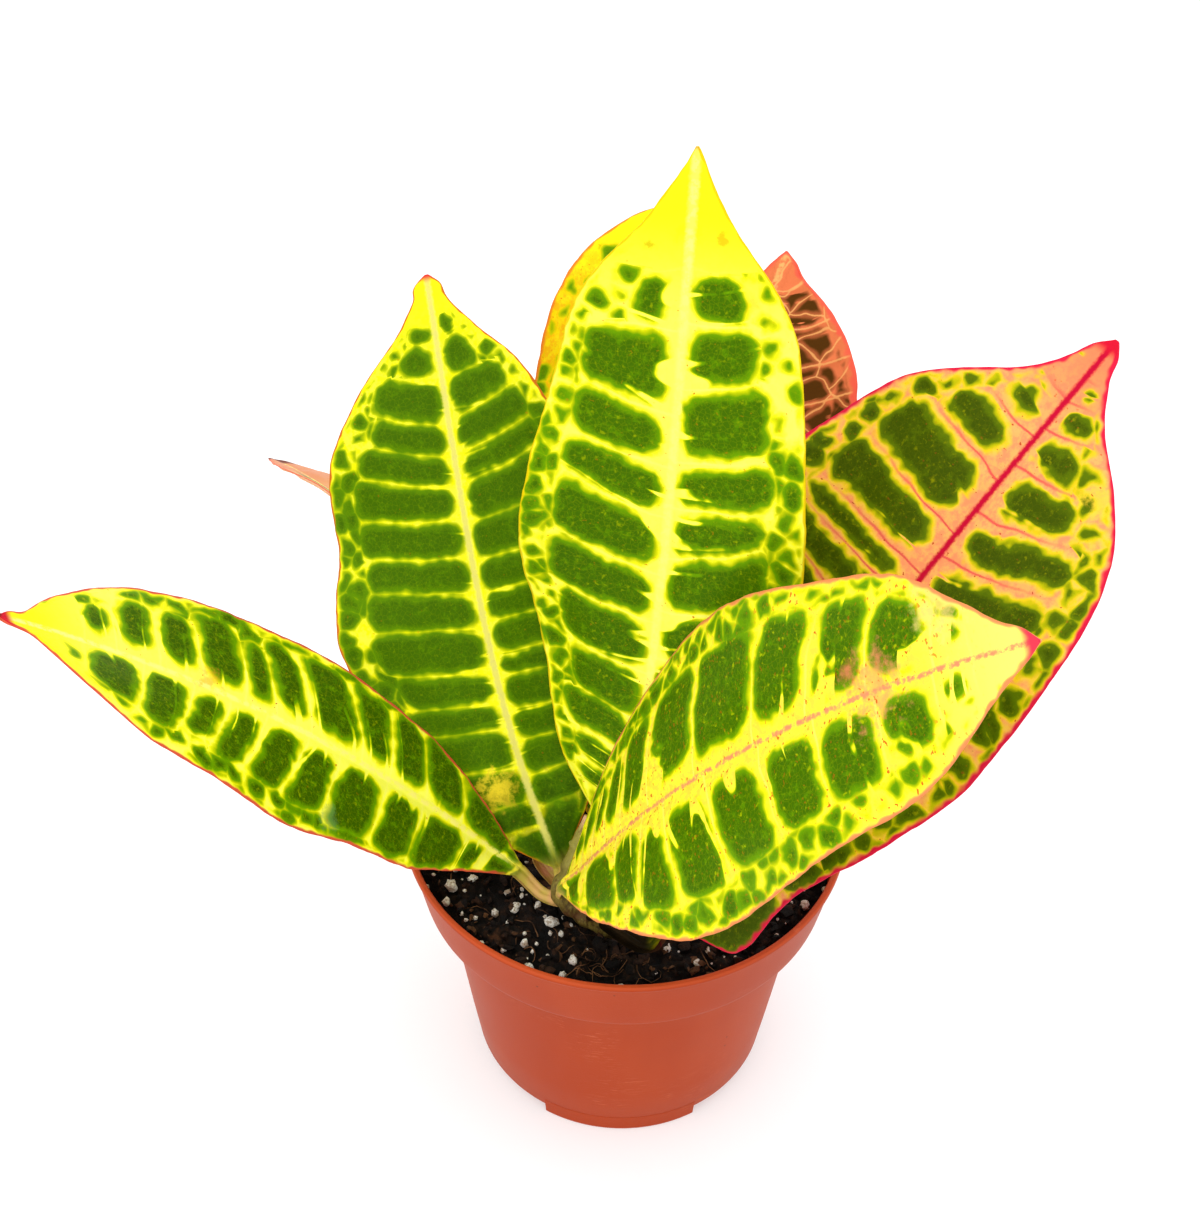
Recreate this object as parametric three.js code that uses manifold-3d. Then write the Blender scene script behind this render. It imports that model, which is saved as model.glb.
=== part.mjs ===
// A young croton in a round plastic nursery pot, in millimetres, +Z up.
//
// The pot's three feet stand on z = 0, and the pot and plant together are centred over the
// origin. The plant is rooted off the pot's centre, towards -Y, and eight leaves rise from
// its short leaning stem. Every leaf is one solid: a channelled petiole that widens into a
// blade with a keeled midrib and a waved edge.

import * as THREE from 'three';
import { mergeVertices } from 'three/addons/utils/BufferGeometryUtils.js';
import Module from 'manifold-3d';

const wasm = await Module();
wasm.setup();

// ---------------------------------------------------------------- driving dimensions
// Every position below is measured from the pot's axis at the height of its feet.

const POT_AXIS = [12.5, 2];           // where the pot's axis stands in the finished object
const GAP = 0.3;                      // clearance between pieces that rest on each other
const PETIOLE_GAP = 0.45;             // from the stem to the middle of a petiole's end

const POT = {
  colour: 0xc4553a,
  height: 75,
  rimRadius: 52,                      // outside of the lip
  lipWidth: 1.5,
  lipHeight: 1.6,
  lipStep: 0.5,                       // how far the lip stands out from the collar
  lipRounding: 0.4,
  collarFoot: { radius: 48.5, z: 57.6 },  // where the rolled collar ends, outside
  bodyTopRadius: 43.9,                // outside of the body just under the collar
  bodyFootRadius: 36.6,
  wall: 1.3,
  floorUnder: 3.3,                    // underside of the raised floor
  floorTop: 4.9,
  footRadius: 36.5,
  footWidth: 3.4,
  feet: 3,
  footArc: 60,                        // degrees of rim that each foot covers
  firstFoot: -90,                     // one foot faces the front
  drainRadius: 4,
  drainRing: 26,                      // distance of the drain holes from the axis
  drainSides: 12,
  sides: 48,
};

const SOIL = {
  colour: 0x2a1c14,
  top: 68.8,                          // mean height of the surface
  rings: [7, 14, 21, 28, 35, 41, 46, 48.9],
  // ripples of the crumbly surface: height, waves along X and along Y, and start
  ripples: [[0.4, 0.31, 0.27, 1.1], [0.24, 0.73, -0.67, 0.9], [0.16, -1.31, 0.5, 0.4]],
};

// Larger white grains that lie on the soil: centre and radius.
const LARGE_GRAINS = [
  [-34, -17, 2.4], [-36, -23, 2.0], [-14.5, -36, 1.8], [-7, -39, 1.6], [4, -45, 1.5],
  [-23, -38, 1.4], [18, 36, 2.1], [-8, 34, 1.7], [33, 12, 1.9], [-38, 14, 1.8],
];
const SMALL_GRAINS = {
  count: 10, radius: 1.2, nearest: 16, farthest: 44, firstAngle: 18, lastAngle: 162, seed: 7,
};
const GRAIN_RISE = 0.25;              // share of its radius that a grain's middle stands up

// The stem's centre line, from its buried foot up to the growing tip.
const STEM_LINE = [
  [2, -32, 44], [0, -31.5, 60], [-4, -30.5, 69], [-10, -29, 73.5], [-14, -27.5, 77.5],
  [-12.3, -25.7, 81.5], [-10.5, -23.5, 86], [-9.5, -21.5, 90], [-9, -20.5, 95],
];
const STEM = {
  colour: 0x6d6a35,
  radius: 2.3,
  footRadius: 2.8,
  footTaper: 10,                      // depth in the soil over which the foot thickens
  holeGap: 0.4,                       // clearance of the hole in the soil
  holeEnd: 73,                        // height up to which the hole is cut
  scarSwell: 0.35,                    // how far a leaf scar stands out
  scarHeight: 0.9,
  tipRadius: 0.5,
  tipFrom: 88,                        // height at which the growing tip starts to taper
  rows: 22,
  sides: 10,
};

const BLADE = {
  thickness: 0.75,
  ribThickness: 2.6,                  // petiole and midrib at the blade's foot
  ribTipThickness: 0.9,
  ribReach: 1.8,                      // half width of the midrib's keel
  petioleHalfWidth: 1.5,
  petioleEase: 0.4,                   // share of a petiole's length in which it turns
  tipHalfWidth: 0.5,
  rows: 21,
  rowCrowding: 0.55,                  // how much closer the rows lie at the foot and the tip
  petioleRows: 4,
  midribSteps: 160,
  leftLag: 75,                        // degrees by which the left edge's waves run ahead
  // where along the blade, as a share of its length, the half widths are given
  stations: [0, 0.1, 0.22, 0.37, 0.53, 0.69, 0.83, 0.93, 1],
};

// Each leaf: `node` is the height on the stem where its petiole leaves, `foot` is where the
// blade starts. The midrib sets out at `azimuth` and `elevation`, and by the tip it has
// turned by `bend` upwards and `sweep` to its left, sooner where `ease` is above 1. `roll`
// and `twist` turn the blade about its midrib, `fold` lifts its halves and `curl` lays them
// back down. The edge waves up and down `waves` times. All angles are in degrees.
const LEAVES = [
  {
    name: 'leaf_low_left', colour: 0x9dbb1c, node: 77, foot: [-24, -23.5, 80.5],
    azimuth: 182, elevation: 51, length: 134, bend: -12, sweep: 27, ease: 1,
    roll: -33, twist: 32, fold: 9, curl: 11, lopsided: 0.08,
    wave: 0.6, waves: 3, phase: 30, halfWidths: [7.5, 14.5, 18.5, 22.5, 22, 18, 8],
  },
  {
    name: 'leaf_mid_left', colour: 0x6f9a17, node: 79.5, foot: [-15, -21.5, 80],
    azimuth: 132, elevation: 52, length: 135, bend: -1, sweep: -27, ease: 3,
    roll: -32, twist: -2, fold: 11, curl: 9, lopsided: 0,
    wave: 3, waves: 3.5, phase: -180, halfWidths: [13.5, 24.5, 32, 32.5, 29.5, 20.5, 7],
  },
  {
    name: 'leaf_tall_centre', colour: 0xc8d622, node: 83, foot: [-2.5, -24.5, 88],
    azimuth: 42, elevation: 74, length: 159, bend: 10, sweep: 31, ease: 2.5,
    roll: 2, twist: 1, fold: 10, curl: 9, lopsided: 0,
    wave: 3, waves: 2.5, phase: -80, halfWidths: [15.5, 22.5, 28.5, 29, 25, 18.5, 6.5],
  },
  {
    name: 'leaf_front_right', colour: 0xc9c52a, node: 78.5, foot: [-14, -31.5, 83.5],
    azimuth: -37, elevation: 64, length: 152, bend: -23, sweep: 3, ease: 1,
    roll: 36, twist: 24, fold: 6, curl: 13, lopsided: 0,
    wave: 1.6, waves: 2.5, phase: -140, halfWidths: [12.5, 21.5, 30, 28.5, 23.5, 17.5, 7.5],
  },
  {
    name: 'leaf_far_right', colour: 0xd9694a, node: 72.5, foot: [6.5, -38, 74.5],
    azimuth: 14, elevation: 66, length: 161.3, bend: -21, sweep: 17, ease: 1,
    roll: 18, twist: -11, fold: 12, curl: 8, lopsided: 0.02,
    wave: 2.4, waves: 3, phase: 110, halfWidths: [19, 23, 32.5, 38.5, 38, 27, 8],
  },
  {
    name: 'leaf_back_upright', colour: 0xc7a52a, node: 83.5, foot: [-6, -14, 85.5],
    azimuth: 88, elevation: 36, length: 143, bend: 24, sweep: -14, ease: 1,
    roll: 2, twist: -5, fold: 10, curl: 10, lopsided: 0.02,
    wave: 4, waves: 2.5, phase: -70, halfWidths: [10, 18, 24.5, 27, 25.5, 22.5, 15],
  },
  {
    name: 'leaf_back_turned', colour: 0xa8673f, node: 88, foot: [-5, -16.5, 90.5],
    azimuth: 59, elevation: 61, length: 133, bend: -26, sweep: 9, ease: 1,
    roll: 169, twist: 0, fold: 10, curl: 10, lopsided: 0.1,
    wave: 0.6, waves: 2.5, phase: 30, halfWidths: [8.5, 16, 23, 26.5, 25, 21, 10],
  },
  {
    name: 'leaf_back_left', colour: 0xb08a55, node: 75, foot: [-19.5, -16, 77.5],
    azimuth: 110, elevation: 43, length: 133, bend: -50, sweep: 31, ease: 1,
    roll: 64, twist: -28, fold: 10, curl: 10, lopsided: -0.14,
    wave: 2, waves: 2.5, phase: 60, halfWidths: [6, 11, 16, 18.5, 18, 15.5, 10],
  },
];

// ---------------------------------------------------------------- shared helpers

const { degToRad: radians, lerp } = THREE.MathUtils;

/** A closed geometry as a solid that can be cut and joined. */
function toSolid(geometry) {
  const bare = geometry.clone();
  bare.deleteAttribute('normal');
  bare.deleteAttribute('uv');
  const merged = mergeVertices(bare, 1e-4);
  const triangles = [];
  const index = merged.index.array;
  for (let i = 0; i < index.length; i += 3) {
    const [a, b, c] = [index[i], index[i + 1], index[i + 2]];
    if (a !== b && b !== c && c !== a) triangles.push(a, b, c);
  }
  const vertProperties = new Float32Array(merged.attributes.position.array);
  const triVerts = new Uint32Array(triangles);
  return new wasm.Manifold(new wasm.Mesh({ numProp: 3, vertProperties, triVerts }));
}

/** The geometry of a solid. */
function toGeometry(solid) {
  const { vertProperties, triVerts } = solid.getMesh();
  const geometry = new THREE.BufferGeometry();
  geometry.setAttribute('position', new THREE.BufferAttribute(vertProperties, 3));
  geometry.setIndex(new THREE.BufferAttribute(triVerts, 1));
  geometry.computeVertexNormals();
  return geometry;
}

/** A mesh of one sub-part with its own material. */
function part(name, geometry, color, roughness) {
  const material = new THREE.MeshStandardMaterial({ color, roughness, metalness: 0 });
  const mesh = new THREE.Mesh(geometry, material);
  mesh.name = name;
  return mesh;
}

/** A profile of [radius, height] points turned about the Z axis. */
function turned(profile, sides) {
  const points = profile.map(([radius, z]) => new THREE.Vector2(radius, z));
  return new THREE.LatheGeometry(points, sides).rotateX(Math.PI / 2);
}

/** A geometry from a list of points and a list of triangles. */
function faceted(points, triangles) {
  const geometry = new THREE.BufferGeometry().setFromPoints(points);
  geometry.setIndex(triangles);
  geometry.computeVertexNormals();
  return geometry;
}

/** A seeded source of numbers from 0 to 1. */
function seededRandom(seed) {
  let state = seed;
  return () => {
    state = (state * 16807) % 2147483647;
    return state / 2147483647;
  };
}

// ---------------------------------------------------------------- pot

/** Inner radius of the pot's body wall at a height. */
function bodyInnerRadius(z) {
  const share = (z - POT.floorUnder) / (POT.collarFoot.z - POT.floorUnder);
  return lerp(POT.bodyFootRadius, POT.bodyTopRadius, share) - POT.wall;
}

/** Inner radius of the collar at a height. */
function collarInnerRadius(z) {
  const share = (z - POT.collarFoot.z) / (POT.height - POT.collarFoot.z);
  return lerp(POT.collarFoot.radius - POT.wall, POT.rimRadius - POT.lipWidth, share);
}

/** The pot before its foot ring is cut: floor, foot ring, body, collar and lip. */
function potShell() {
  const { rimRadius, height, lipRounding, collarFoot, floorUnder, floorTop } = POT;
  const footInside = POT.footRadius - POT.footWidth;
  const ledgeTop = collarFoot.z + POT.wall;
  return turned([
    [0, floorUnder],
    [footInside, floorUnder],
    [footInside, 0],
    [POT.footRadius, 0],
    [POT.bodyFootRadius, floorUnder],
    [POT.bodyTopRadius, collarFoot.z],
    [collarFoot.radius, collarFoot.z],
    [rimRadius - POT.lipStep, height - POT.lipHeight],
    [rimRadius, height - POT.lipHeight + lipRounding],
    [rimRadius, height - lipRounding],
    [rimRadius - lipRounding, height],
    [rimRadius - POT.lipWidth, height],
    [collarInnerRadius(ledgeTop), ledgeTop],
    [bodyInnerRadius(ledgeTop), ledgeTop],
    [bodyInnerRadius(floorTop), floorTop],
    [0, floorTop],
  ], POT.sides);
}

/** The wedge that is missing between two feet. */
function footNotch(middle) {
  const half = radians(180 / POT.feet - POT.footArc / 2);
  const reach = 2 * POT.footRadius;
  const wedge = new THREE.Shape([
    new THREE.Vector2(0, 0),
    new THREE.Vector2(reach * Math.cos(-half), reach * Math.sin(-half)),
    new THREE.Vector2(reach * Math.cos(half), reach * Math.sin(half)),
  ]);
  const geometry = new THREE.ExtrudeGeometry(wedge, {
    depth: 2 * POT.floorUnder, bevelEnabled: false,
  });
  return geometry.translate(0, 0, -POT.floorUnder).rotateZ(middle);
}

/** A round drain hole through the floor, in line with a notch. */
function drainHole(middle) {
  const { drainRadius, drainRing, drainSides, floorTop } = POT;
  const hole = new THREE.CylinderGeometry(drainRadius, drainRadius, 4 * floorTop, drainSides);
  hole.rotateX(Math.PI / 2);
  return hole.translate(drainRing * Math.cos(middle), drainRing * Math.sin(middle), 0);
}

function makePot() {
  let pot = toSolid(potShell());
  for (let i = 0; i < POT.feet; i += 1) {
    const middle = radians(POT.firstFoot + (360 / POT.feet) * (i + 0.5));
    pot = pot.subtract(toSolid(footNotch(middle)));
    pot = pot.subtract(toSolid(drainHole(middle)));
  }
  return part('pot', toGeometry(pot), POT.colour, 0.45);
}

// ---------------------------------------------------------------- stem

const stemCurve = new THREE.CatmullRomCurve3(
  STEM_LINE.map(([x, y, z]) => new THREE.Vector3(x, y, z)), false, 'centripetal');

/** The share of the stem's line at which it reaches a height. */
function stemShareAt(z) {
  let [low, high] = [0, 1];
  for (let i = 0; i < 30; i += 1) {
    const middle = (low + high) / 2;
    if (stemCurve.getPoint(middle).z < z) low = middle;
    else high = middle;
  }
  return low;
}

/** Radius of the stem at a height, with a swelling under every leaf. */
function stemRadius(z) {
  if (z > STEM.tipFrom) {
    const top = STEM_LINE.at(-1)[2];
    return THREE.MathUtils.mapLinear(z, STEM.tipFrom, top, STEM.radius, STEM.tipRadius);
  }
  const buried = THREE.MathUtils.clamp((SOIL.top - z) / STEM.footTaper, 0, 1);
  const scars = LEAVES.map((leaf) => Math.exp(-(((z - leaf.node) / STEM.scarHeight) ** 2)));
  return lerp(STEM.radius, STEM.footRadius, buried) + STEM.scarSwell * Math.max(...scars);
}

/** The stem as a closed tube, thicker by `extra` all round and from share `from` to `to`. */
function stemTube(extra, from, to) {
  const { rows, sides } = STEM;
  const points = [];
  const triangles = [];
  for (let row = 0; row <= rows; row += 1) {
    const share = lerp(from, to, row / rows);
    const centre = stemCurve.getPoint(share);
    const along = stemCurve.getTangent(share);
    const side = new THREE.Vector3(0, 1, 0).cross(along).normalize();
    const front = along.clone().cross(side);
    const radius = stemRadius(centre.z) + extra;
    for (let i = 0; i < sides; i += 1) {
      const angle = (2 * Math.PI * i) / sides;
      points.push(centre.clone()
        .addScaledVector(side, radius * Math.cos(angle))
        .addScaledVector(front, radius * Math.sin(angle)));
    }
  }
  for (let row = 0; row < rows; row += 1) {
    for (let i = 0; i < sides; i += 1) {
      const a = row * sides + i;
      const b = row * sides + ((i + 1) % sides);
      triangles.push(a, b, b + sides, a, b + sides, a + sides);
    }
  }
  for (let i = 1; i < sides - 1; i += 1) {
    const last = rows * sides;
    triangles.push(0, i + 1, i, last, last + i, last + i + 1);
  }
  return faceted(points, triangles);
}

function makeStem() {
  const liftedFoot = stemShareAt(STEM_LINE[0][2] + GAP);
  return part('stem', stemTube(0, liftedFoot, 1), STEM.colour, 0.6);
}

// ---------------------------------------------------------------- soil

/** Height of the crumbly soil surface over a point. */
function soilHeight(x, y) {
  return SOIL.ripples.reduce(
    (z, [height, alongX, alongY, start]) =>
      z + height * Math.sin(alongX * x + alongY * y + start),
    SOIL.top);
}

/** The filling of the pot: its crumbly top, then its side, which follows the pot's inside. */
function soilBody() {
  const { sides } = POT;
  const ledgeTop = POT.collarFoot.z + POT.wall + GAP;
  const bottom = POT.floorTop + GAP;
  const ringOf = (radius, heightAt) => Array.from({ length: sides }, (_, i) => {
    const angle = (2 * Math.PI * i) / sides;
    const [x, y] = [radius * Math.cos(angle), radius * Math.sin(angle)];
    return new THREE.Vector3(x, y, heightAt(x, y));
  });
  const rings = [
    ...SOIL.rings.map((radius) => ringOf(radius, soilHeight)),
    ringOf(collarInnerRadius(ledgeTop) - GAP, () => ledgeTop),
    ringOf(bodyInnerRadius(ledgeTop) - GAP, () => ledgeTop),
    ringOf(bodyInnerRadius(bottom) - GAP, () => bottom),
  ];
  const points = [
    new THREE.Vector3(0, 0, soilHeight(0, 0)), ...rings.flat(),
    new THREE.Vector3(0, 0, bottom),
  ];
  const triangles = [];
  const last = points.length - 1;
  for (let i = 0; i < sides; i += 1) {
    const next = (i + 1) % sides;
    triangles.push(0, 1 + i, 1 + next);
    for (let ring = 0; ring < rings.length - 1; ring += 1) {
      const inner = 1 + ring * sides;
      const outer = inner + sides;
      triangles.push(inner + i, outer + i, outer + next);
      triangles.push(inner + i, outer + next, inner + next);
    }
    triangles.push(last, last - sides + next, last - sides + i);
  }
  return faceted(points, triangles);
}

/** White grains that lie half sunk in the soil, clear of the stem. */
function grains() {
  const { count, radius, nearest, farthest, firstAngle, lastAngle, seed } = SMALL_GRAINS;
  const random = seededRandom(seed);
  const small = Array.from({ length: count }, () => {
    const distance = lerp(nearest, farthest, random());
    const angle = radians(lerp(firstAngle, lastAngle, random()));
    return [distance * Math.cos(angle), distance * Math.sin(angle), radius];
  });
  return [...LARGE_GRAINS, ...small].map(([x, y, size], i) => {
    const grain = new THREE.IcosahedronGeometry(size, 0);
    grain.rotateX(i).rotateZ(2 * i);
    return grain.translate(x, y, soilHeight(x, y) + GRAIN_RISE * size);
  });
}

function makeSoil() {
  let soil = toSolid(soilBody());
  for (const grain of grains()) soil = soil.add(toSolid(grain));
  const hole = stemTube(STEM.holeGap, 0, stemShareAt(STEM.holeEnd));
  return part('soil', toGeometry(soil.subtract(toSolid(hole))), SOIL.colour, 0.95);
}

// ---------------------------------------------------------------- leaves

/** Half width of a blade at a share of its length, on a smooth line through its stations. */
function halfWidth(leaf, t) {
  const at = BLADE.stations;
  const widths = [BLADE.petioleHalfWidth, ...leaf.halfWidths, BLADE.tipHalfWidth];
  const slope = (i) => (widths[i + 1] - widths[i]) / (at[i + 1] - at[i]);
  const steepness = (i) => {
    if (i === 0) return slope(0);
    if (i === at.length - 1) return slope(i - 1);
    const [before, after] = [at[i] - at[i - 1], at[i + 1] - at[i]];
    return (slope(i - 1) * after + slope(i) * before) / (before + after);
  };
  const i = Math.min(at.findLastIndex((start) => start <= t), at.length - 2);
  const span = at[i + 1] - at[i];
  const f = (t - at[i]) / span;
  return (2 * f ** 3 - 3 * f ** 2 + 1) * widths[i]
    + (f ** 3 - 2 * f ** 2 + f) * steepness(i) * span
    + (3 * f ** 2 - 2 * f ** 3) * widths[i + 1]
    + (f ** 3 - f ** 2) * steepness(i + 1) * span;
}

/** The way a leaf's midrib runs and its blade faces at a share of its length. */
function bladeFrame(leaf, t) {
  const eased = 1 - (1 - t) ** leaf.ease;
  const turn = radians(leaf.sweep * eased);
  const rise = radians(leaf.elevation + leaf.bend * eased);
  const along = new THREE.Vector3(
    Math.cos(rise) * Math.cos(turn), Math.cos(rise) * Math.sin(turn), Math.sin(rise));
  const left = new THREE.Vector3(-Math.sin(turn), Math.cos(turn), 0);
  left.applyAxisAngle(along, radians(leaf.roll + leaf.twist * t));
  const face = along.clone().cross(left);
  return { along, left, face };
}

/** Points of the midrib at the given shares of the blade, from its foot at the origin. */
function midrib(leaf, shares) {
  const steps = BLADE.midribSteps;
  const line = [new THREE.Vector3()];
  for (let i = 0; i < steps; i += 1) {
    const { along } = bladeFrame(leaf, (i + 0.5) / steps);
    line.push(line[i].clone().addScaledVector(along, leaf.length / steps));
  }
  return shares.map((t) => {
    const i = Math.min(Math.floor(t * steps), steps - 1);
    return line[i].clone().lerp(line[i + 1], t * steps - i);
  });
}

/** Where a petiole leaves the stem, in the leaf's own frame, and the way it sets out. */
function petioleRoot(leaf) {
  const share = stemShareAt(leaf.node);
  const axisPoint = stemCurve.getPoint(share);
  const stemWay = stemCurve.getTangent(share);
  const foot = new THREE.Vector3(...leaf.foot);
  const outward = foot.clone().sub(axisPoint);
  outward.addScaledVector(stemWay, -outward.dot(stemWay)).normalize();
  const root = axisPoint.addScaledVector(outward, stemRadius(leaf.node) + PETIOLE_GAP);
  const back = -radians(leaf.azimuth);
  const up = new THREE.Vector3(0, 0, 1);
  return {
    root: root.sub(foot).applyAxisAngle(up, back),
    outward: outward.applyAxisAngle(up, back),
  };
}

/** The cross sections of a leaf from the stem to its tip. */
function leafSections(leaf) {
  const { root, outward } = petioleRoot(leaf);
  const start = bladeFrame(leaf, 0);
  const ease = root.length() * BLADE.petioleEase;
  const petiole = new THREE.CubicBezierCurve3(
    root, root.clone().addScaledVector(outward, ease),
    start.along.clone().multiplyScalar(-ease), new THREE.Vector3());
  const sections = [];
  for (let i = 0; i < BLADE.petioleRows; i += 1) {
    const share = i / BLADE.petioleRows;
    const along = petiole.getTangent(share);
    const left = start.left.clone();
    left.addScaledVector(along, -left.dot(along)).normalize();
    const face = along.clone().cross(left);
    sections.push({ centre: petiole.getPoint(share), left, face, t: 0 });
  }
  const shares = Array.from({ length: BLADE.rows + 1 }, (_, i) => {
    const turn = (2 * Math.PI * i) / BLADE.rows;
    return (turn - BLADE.rowCrowding * Math.sin(turn)) / (2 * Math.PI);
  });
  midrib(leaf, shares).forEach((centre, i) => {
    const { left, face } = bladeFrame(leaf, shares[i]);
    sections.push({ centre, left, face, t: shares[i] });
  });
  return sections;
}

/** How far out from the midrib a section's points lie, from its right edge to its left. */
function lateralOffsets(width) {
  const keel = 0.5 * Math.min(width, BLADE.ribReach);
  const half = [0, 1, 2, 3].map((i) => lerp(keel, width, i / 3));
  return [...half.map((offset) => -offset).reverse(), 0, ...half];
}

/** A point of the blade's upper face, `offset` out from the midrib along the blade. */
function facePoint(leaf, section, offset, width) {
  const side = Math.sign(offset);
  const out = Math.abs(offset) / width;
  const [fold, curl] = [radians(leaf.fold), radians(leaf.curl)];
  const across = (width * (Math.sin(fold) - Math.sin(fold - curl * out))) / curl;
  const lift = (width * (Math.cos(fold - curl * out) - Math.cos(fold))) / curl;
  const lag = side > 0 ? BLADE.leftLag : 0;
  const beat = Math.sin(radians(360 * leaf.waves * section.t + leaf.phase + lag));
  const wave = leaf.wave * beat * out ** 2 * Math.sin(Math.PI * section.t);
  return section.centre.clone()
    .addScaledVector(section.left, side * across)
    .addScaledVector(section.face, lift + wave);
}

/** Thickness of a leaf `offset` out from the midrib: a keel below, thin towards the edge. */
function leafThickness(t, offset, width) {
  const rib = lerp(BLADE.ribThickness, BLADE.ribTipThickness, Math.sqrt(t));
  const out = Math.abs(offset) / Math.min(width, BLADE.ribReach);
  return BLADE.thickness + (rib - BLADE.thickness) * Math.sqrt(Math.max(0, 1 - out ** 2));
}

/** The points of a leaf's upper face, row by row, each with the leaf's depth below it. */
function upperFace(leaf) {
  return leafSections(leaf).map((section) => {
    const plain = section.t > 0 ? halfWidth(leaf, section.t) : BLADE.petioleHalfWidth;
    return lateralOffsets(plain).map((offset) => {
      const uneven = 1 + Math.sign(offset) * leaf.lopsided;
      const top = facePoint(leaf, section, offset * uneven, plain * uneven);
      return { top, depth: leafThickness(section.t, offset, plain) };
    });
  });
}

/** A closed leaf: its upper face, the same face its depth lower, and the edge between. */
function leafGeometry(leaf) {
  const rows = upperFace(leaf);
  const columns = rows[0].length;
  const last = rows.length - 1;
  const tops = rows.flat().map(({ top }) => top);
  const bottoms = rows.flatMap((row, r) => row.map(({ top, depth }, c) => {
    const ahead = rows[Math.min(r + 1, last)][c].top.clone();
    const across = row[Math.min(c + 1, columns - 1)].top.clone();
    ahead.sub(rows[Math.max(r - 1, 0)][c].top);
    across.sub(row[Math.max(c - 1, 0)].top);
    return top.clone().addScaledVector(ahead.cross(across).normalize(), -depth);
  }));
  const under = tops.length;
  const triangles = [];
  const quad = (a, b, c, d) => triangles.push(a, b, c, a, c, d);
  for (let r = 0; r < last; r += 1) {
    const right = r * columns;
    const left = right + columns - 1;
    for (let a = right; a < left; a += 1) {
      const ahead = a + columns;
      quad(a, ahead, ahead + 1, a + 1);
      triangles.push(under + a, under + ahead + 1, under + ahead);
      triangles.push(under + a, under + a + 1, under + ahead + 1);
    }
    quad(right, under + right, under + right + columns, right + columns);
    quad(left, left + columns, under + left + columns, under + left);
  }
  for (let c = 0; c < columns - 1; c += 1) {
    const tip = last * columns + c;
    quad(c, c + 1, under + c + 1, under + c);
    quad(tip, under + tip, under + tip + 1, tip + 1);
  }
  return faceted([...tops, ...bottoms], triangles);
}

function makeLeaf(leaf) {
  const mesh = part(leaf.name, leafGeometry(leaf), leaf.colour, 0.4);
  mesh.position.set(...leaf.foot);
  mesh.rotation.z = radians(leaf.azimuth);
  return mesh;
}

// ---------------------------------------------------------------- assembly

const holder = new THREE.Group();
holder.add(makePot(), makeSoil());

const plant = new THREE.Group();
plant.add(makeStem(), ...LEAVES.map(makeLeaf));

const group = new THREE.Group();
group.add(holder, plant);
group.position.set(...POT_AXIS, 0);

export default group;
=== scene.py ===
"""A young croton in a terracotta-coloured nursery pot, dressed for close views.

Sizes inside the classes are in millimetres, measured from the pot's axis at the height of
its feet, and Bench.piece moves every finished mesh into the frame of the solids, in metres.
The patterns of the leaves are drawn in millimetres too, all other finishes in metres.
"""

import logging
import math
import random
from dataclasses import dataclass, field
from enum import Enum

import bmesh
import bpy
import numpy as np
from mathutils import Euler, Matrix, Vector, noise

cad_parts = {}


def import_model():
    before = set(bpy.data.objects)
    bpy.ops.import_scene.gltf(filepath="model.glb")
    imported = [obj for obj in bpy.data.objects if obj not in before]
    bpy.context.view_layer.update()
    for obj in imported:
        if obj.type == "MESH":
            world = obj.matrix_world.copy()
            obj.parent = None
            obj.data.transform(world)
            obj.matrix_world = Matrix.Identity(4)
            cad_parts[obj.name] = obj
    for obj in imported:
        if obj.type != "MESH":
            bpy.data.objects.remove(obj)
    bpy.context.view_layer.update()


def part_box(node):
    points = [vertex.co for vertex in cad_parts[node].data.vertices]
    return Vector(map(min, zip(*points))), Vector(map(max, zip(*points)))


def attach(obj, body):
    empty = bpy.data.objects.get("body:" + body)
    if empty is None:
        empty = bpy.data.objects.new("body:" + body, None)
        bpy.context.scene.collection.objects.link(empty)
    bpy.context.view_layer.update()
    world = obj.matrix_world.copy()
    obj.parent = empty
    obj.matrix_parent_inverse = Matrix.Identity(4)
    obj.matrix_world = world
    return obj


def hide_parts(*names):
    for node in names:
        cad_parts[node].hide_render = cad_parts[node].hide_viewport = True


log = logging.getLogger("croton")

MM = 0.001
TURN = 2 * math.pi
Rgb = tuple[float, float, float]
Place = tuple[float, float, float]
Laterals = tuple[tuple[float, float, float, float], ...]


def shade(*levels: int) -> Rgb:
    """Turns display levels of 0 to 255 into the linear colour that shaders use."""
    parts = (level / 255 for level in levels)
    return tuple(p / 12.92 if p <= 0.04045 else ((p + 0.055) / 1.055) ** 2.4 for p in parts)


def smooth(low: float, high: float, value: np.ndarray | float) -> np.ndarray | float:
    """Rises smoothly from 0 at low to 1 at high."""
    share = np.clip((value - low) / (high - low), 0.0, 1.0)
    return share * share * (3.0 - 2.0 * share)


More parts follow.
